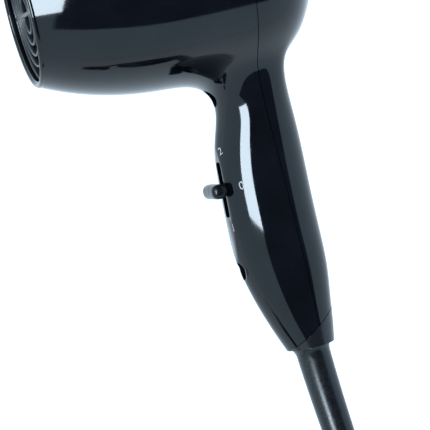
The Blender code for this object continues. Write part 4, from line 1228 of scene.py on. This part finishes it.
class DRYER_OT_heater(bpy.types.Operator):
    """Wind the heater's coils and finish its boards"""

    bl_idname = "dryer.heater"
    bl_label = "Heater"

    def execute(self, context):
        finish = metal("heating_wire", (0.62, 0.58, 0.53), 0.25, tarnish=(0.55, 0.5, 0.55))
        place = lying()
        for name in ("front", "middle", "rear"):
            node = f"heater_coil_{name}"
            low, high = (Vector(corner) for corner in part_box(node))
            x = (low.x + high.x) / 2 - place.translation.x
            points = []
            for k, a in enumerate(around(WIND_TURNS * WIND_STEPS)):
                small = 2 * pi * k / WIND_STEPS
                radius = HEATER_RADIUS + WIND_RADIUS * cos(small)
                point = Vector((x + WIND_RADIUS * sin(small), radius * cos(a), radius * sin(a)))
                points.append(place @ point)
            coil = wire(f"wound_coil_{name}", points, WIRE_RADIUS, 1)
            dress(coil, finish, stands_for=(node,))
        coat(mica(), "mica_tube", "mica_board_upright", "mica_board_level")
        return {"FINISHED"}


class DRYER_OT_inlet(bpy.types.Operator):
    """Make the rear grille and finish its screen"""

    bl_idname = "dryer.inlet"
    bl_label = "Inlet grille"

    def execute(self, context):
        f = context.scene.dryer_form
        x = dome_x(f.inlet_radius) - INLET_DEPTH
        outer = f.inlet_radius - 0.0024
        shape = bmesh.new()
        add_lathe(shape, bead(x, outer - 0.0011, 0.0011, 0.0011, 4.0), 96)
        for radius in INLET_RINGS:
            add_lathe(shape, bead(x, radius, 0.0009, 0.0008, 3.0), 80)
        hub = [(x - 0.0009, 0.0), (x - 0.0009, 0.0030), (x + 0.0004, 0.0030), (x + 0.0009, 0.0022),
               (x + 0.0010, 0.0)]
        add_lathe(shape, hub, 48, False)
        end = outer - 0.0012
        for k in range(3):
            spoke = rounded_bar((x - 0.0008, -end, -0.0007), (x + 0.0008, end, 0.0007), 0.0005)
            spoke.transform(Matrix.Rotation(pi * k / 3, 4, "X"))
            join(shape, spoke)
        grille = crease(to_object("inlet_rings", face_outward(shape), lying()), 45.0)
        dress(grille, once(grille_black), stands_for=("inlet_grille",))
        coat(woven_screen(), "inlet_filter")
        return {"FINISHED"}


class DRYER_OT_switch(bpy.types.Operator):
    """Make the switch's knob and print its marks"""

    bl_idname = "dryer.switch"
    bl_label = "Switch"

    def execute(self, context):
        d = context.scene.dryer_details
        place = lying() @ switch_place()
        half = d.knob_height / 2
        shape = box((-d.knob_reach, -d.knob_width / 2, -half), (-GAP, d.knob_width / 2, half))
        knob = to_object("knob", face_outward(shape), place)
        soften(knob, 0.0027, 8, 30.0)
        finish = satin_black("knob_black", 0.4, 0.28, 1.28)
        dress(knob, finish, "switch_knob", ("switch_knob",))
        self.print_marks(context)
        return {"FINISHED"}

    def print_marks(self, context):
        """Numerals beside the knob's three places."""
        graph = context.evaluated_depsgraph_get()
        skin_tree = BVHTree.FromObject(bpy.data.objects["front_shell"], graph)
        finish = printed_marks()
        place = lying()
        for name, text, spot in MARKS:
            data = bpy.data.curves.new(name, "FONT")
            data.body = text
            data.size = MARK_SIZE
            data.align_x = "CENTER"
            data.align_y = "CENTER"
            lettering = add_object(name, data)
            graph = context.evaluated_depsgraph_get()
            mesh = bpy.data.meshes.new_from_object(lettering.evaluated_get(graph))
            bpy.data.objects.remove(lettering, do_unlink=True)
            shape = bmesh.new()
            shape.from_mesh(mesh)
            bmesh.ops.triangulate(shape, faces=shape.faces)
            bmesh.ops.subdivide_edges(shape, edges=shape.edges, cuts=3, use_grid_fill=True)
            point = place @ Vector(spot)
            _, normal, _, _ = skin_tree.find_nearest(point)
            right = (place.to_3x3() @ Vector((1.0, 0.0, 0.0))).normalized()
            right = (right - normal * right.dot(normal)).normalized()
            up = normal.cross(right)
            for vert in shape.verts:
                start = point + right * vert.co.x + up * vert.co.y + normal * 0.01
                hit, away, _, _ = skin_tree.ray_cast(start, -normal)
                if hit is None:
                    raise RuntimeError(f"the mark {name} misses the front shell")
                vert.co = hit + away * 0.00005
            made = to_object(name, shape, Matrix())
            dress(made, finish)


class DRYER_OT_inner_pieces(bpy.types.Operator):
    """Finish the motor, fan, leads, screws and clamp"""

    bl_idname = "dryer.inner_pieces"
    bl_label = "Inner pieces"

    def execute(self, context):
        coat(metal("screw_steel", (0.42, 0.43, 0.45), 0.32, (1.0, 8.0, 1.0), (0.6, 0.6, 0.6)),
             "upper_screw", "lower_screw", "clamp_screw_left", "clamp_screw_right", "thermostat")
        coat(metal("motor_can", (0.55, 0.56, 0.57), 0.30, (1.0, 10.0, 10.0), (0.7, 0.7, 0.72)), "motor")
        coat(metal("bright_shaft", (0.66, 0.67, 0.68), 0.18, (8.0, 1.0, 1.0)), "motor_shaft")
        coat(moulded("white_nylon", (0.72, 0.71, 0.66)), "fan", "motor_mount", "switch_body", "thermal_fuse")
        coat(moulded("brown_lead", (0.16, 0.055, 0.025), 0.38), "lead_live", "lead_switched")
        coat(moulded("blue_lead", (0.03, 0.10, 0.42), 0.38), "lead_neutral")
        coat(once(satin_black), "cord_clamp")
        return {"FINISHED"}


# Inward directions of the dark opening's edges, seen from the studio's rig: right, up, back
OPENING_SIDES = ((0.216, 0.703, 0.680), (0.948, -0.100, 0.302), (-0.485, -0.150, 0.862))
OPENING_BLUR = 0.02


def studio_rig():
    """Directions that the studio is set out along: right, up and back, seen from above the dryer."""
    s = bpy.context.scene.dryer_studio
    level = cos(s.camera_elevation)
    back = Vector((-sin(s.camera_azimuth) * level, -cos(s.camera_azimuth) * level, sin(s.camera_elevation)))
    right = Vector((0.0, 1.0, 0.0)).cross(back).normalized()
    turn = Matrix((right, back.cross(right), back)).transposed()
    return turn @ Matrix.Rotation(s.camera_roll, 3, "Z")


def area_lamp(name, place, size, power):
    """A rectangular lamp that shines down its own Z axis."""
    data = bpy.data.lights.new(name, "AREA")
    data.shape = "RECTANGLE"
    data.size, data.size_y = size
    data.energy = power
    data.color = bpy.context.scene.dryer_studio.lamp_color
    return add_object(name, data, place)


class DRYER_OT_stage(bpy.types.Operator):
    """Lay the floor and light the studio"""

    bl_idname = "dryer.stage"
    bl_label = "Stage"

    def execute(self, context):
        s = context.scene.dryer_studio
        shape = bmesh.new()
        bmesh.ops.create_grid(shape, x_segments=8, y_segments=8, size=FLOOR_HALF)
        floor = to_object("floor", shape, Matrix())
        floor.data.materials.append(pale_floor())
        self.light_tent(context, s)
        above = Matrix.Translation(FLOOR_LAMP_PLACE)
        lamp = area_lamp("floor_lamp", above, FLOOR_LAMP_SIZE, s.floor_light)
        lamp.visible_glossy = False
        turn = studio_rig() @ Euler((-s.strip_lift, -s.strip_side, 0.0), "XYZ").to_matrix()
        beside = turn.to_4x4() @ Matrix.Translation((0.0, 0.0, STRIP_DISTANCE))
        strip = area_lamp("strip_lamp", beside, STRIP_SIZE, s.strip_light)
        strip.visible_diffuse = False
        context.scene.view_settings.view_transform = "Standard"
        return {"FINISHED"}

    def light_tent(self, context, s):
        """Pale surroundings with a dark opening overhead."""
        world = bpy.data.worlds.new("tent")
        context.scene.world = world
        world.cycles_visibility.diffuse = False
        world.use_nodes = True
        tree = world.node_tree
        place = add_node(tree, "ShaderNodeTexCoord").outputs["Generated"]
        rig = studio_rig()
        inside = 1.0
        for across in OPENING_SIDES:
            facing = add_node(tree, "ShaderNodeVectorMath", {"operation": "DOT_PRODUCT"},
                              i0=place, i1=rig @ Vector(across))
            edge = add_node(tree, "ShaderNodeMapRange", {"interpolation_type": "SMOOTHSTEP"},
                            Value=facing.outputs["Value"], From_Min=-OPENING_BLUR, From_Max=OPENING_BLUR)
            both = add_node(tree, "ShaderNodeMath", {"operation": "MULTIPLY"}, i0=inside, i1=edge.outputs[0])
            inside = both.outputs[0]
        mix = add_node(tree, "ShaderNodeMix", {"data_type": "RGBA"}, Factor=inside,
                       i6=(*s.tent_color, 1.0), i7=(*s.opening_color, 1.0))
        background = tree.nodes["Background"]
        background.inputs["Strength"].default_value = s.tent_strength
        tree.links.new(mix.outputs[2], background.inputs["Color"])


class DRYER_PT_panel(bpy.types.Panel):
    """The dryer's pieces and sizes"""

    bl_idname = "DRYER_PT_panel"
    bl_label = "Hair dryer"
    bl_space_type = "VIEW_3D"
    bl_region_type = "UI"
    bl_category = "Dryer"

    def draw(self, context):
        layout = self.layout
        for operator in STEPS:
            layout.operator(operator.bl_idname)
        for name in SETTINGS:
            group = getattr(context.scene, name)
            box_layout = layout.box()
            box_layout.label(text=group.bl_rna.name)
            for key in group.__annotations__:
                box_layout.prop(group, key)


SETTINGS = {
    "dryer_form": DryerForm,
    "dryer_details": DryerDetails,
    "dryer_cord": DryerCord,
    "dryer_finish": DryerFinish,
    "dryer_studio": DryerStudio,
}
STEPS = (
    DRYER_OT_camera, DRYER_OT_shells, DRYER_OT_collar, DRYER_OT_strain_relief, DRYER_OT_plug, DRYER_OT_strap,
    DRYER_OT_cord, DRYER_OT_outlet, DRYER_OT_heater, DRYER_OT_inlet, DRYER_OT_switch, DRYER_OT_inner_pieces,
    DRYER_OT_stage,
)


def register():
    """Register the settings, the operators and the panel."""
    for kind in (*SETTINGS.values(), *STEPS, DRYER_PT_panel):
        bpy.utils.register_class(kind)
    for name, kind in SETTINGS.items():
        setattr(bpy.types.Scene, name, PointerProperty(type=kind))


def unregister():
    """Remove what register added."""
    for name in SETTINGS:
        delattr(bpy.types.Scene, name)
    for kind in reversed((*SETTINGS.values(), *STEPS, DRYER_PT_panel)):
        bpy.utils.unregister_class(kind)


def main():
    """Build every piece and the stage."""
    register()
    for step in STEPS:
        group, name = step.bl_idname.split(".")
        getattr(getattr(bpy.ops, group), name)()


if __name__ == "__main__":
    main()
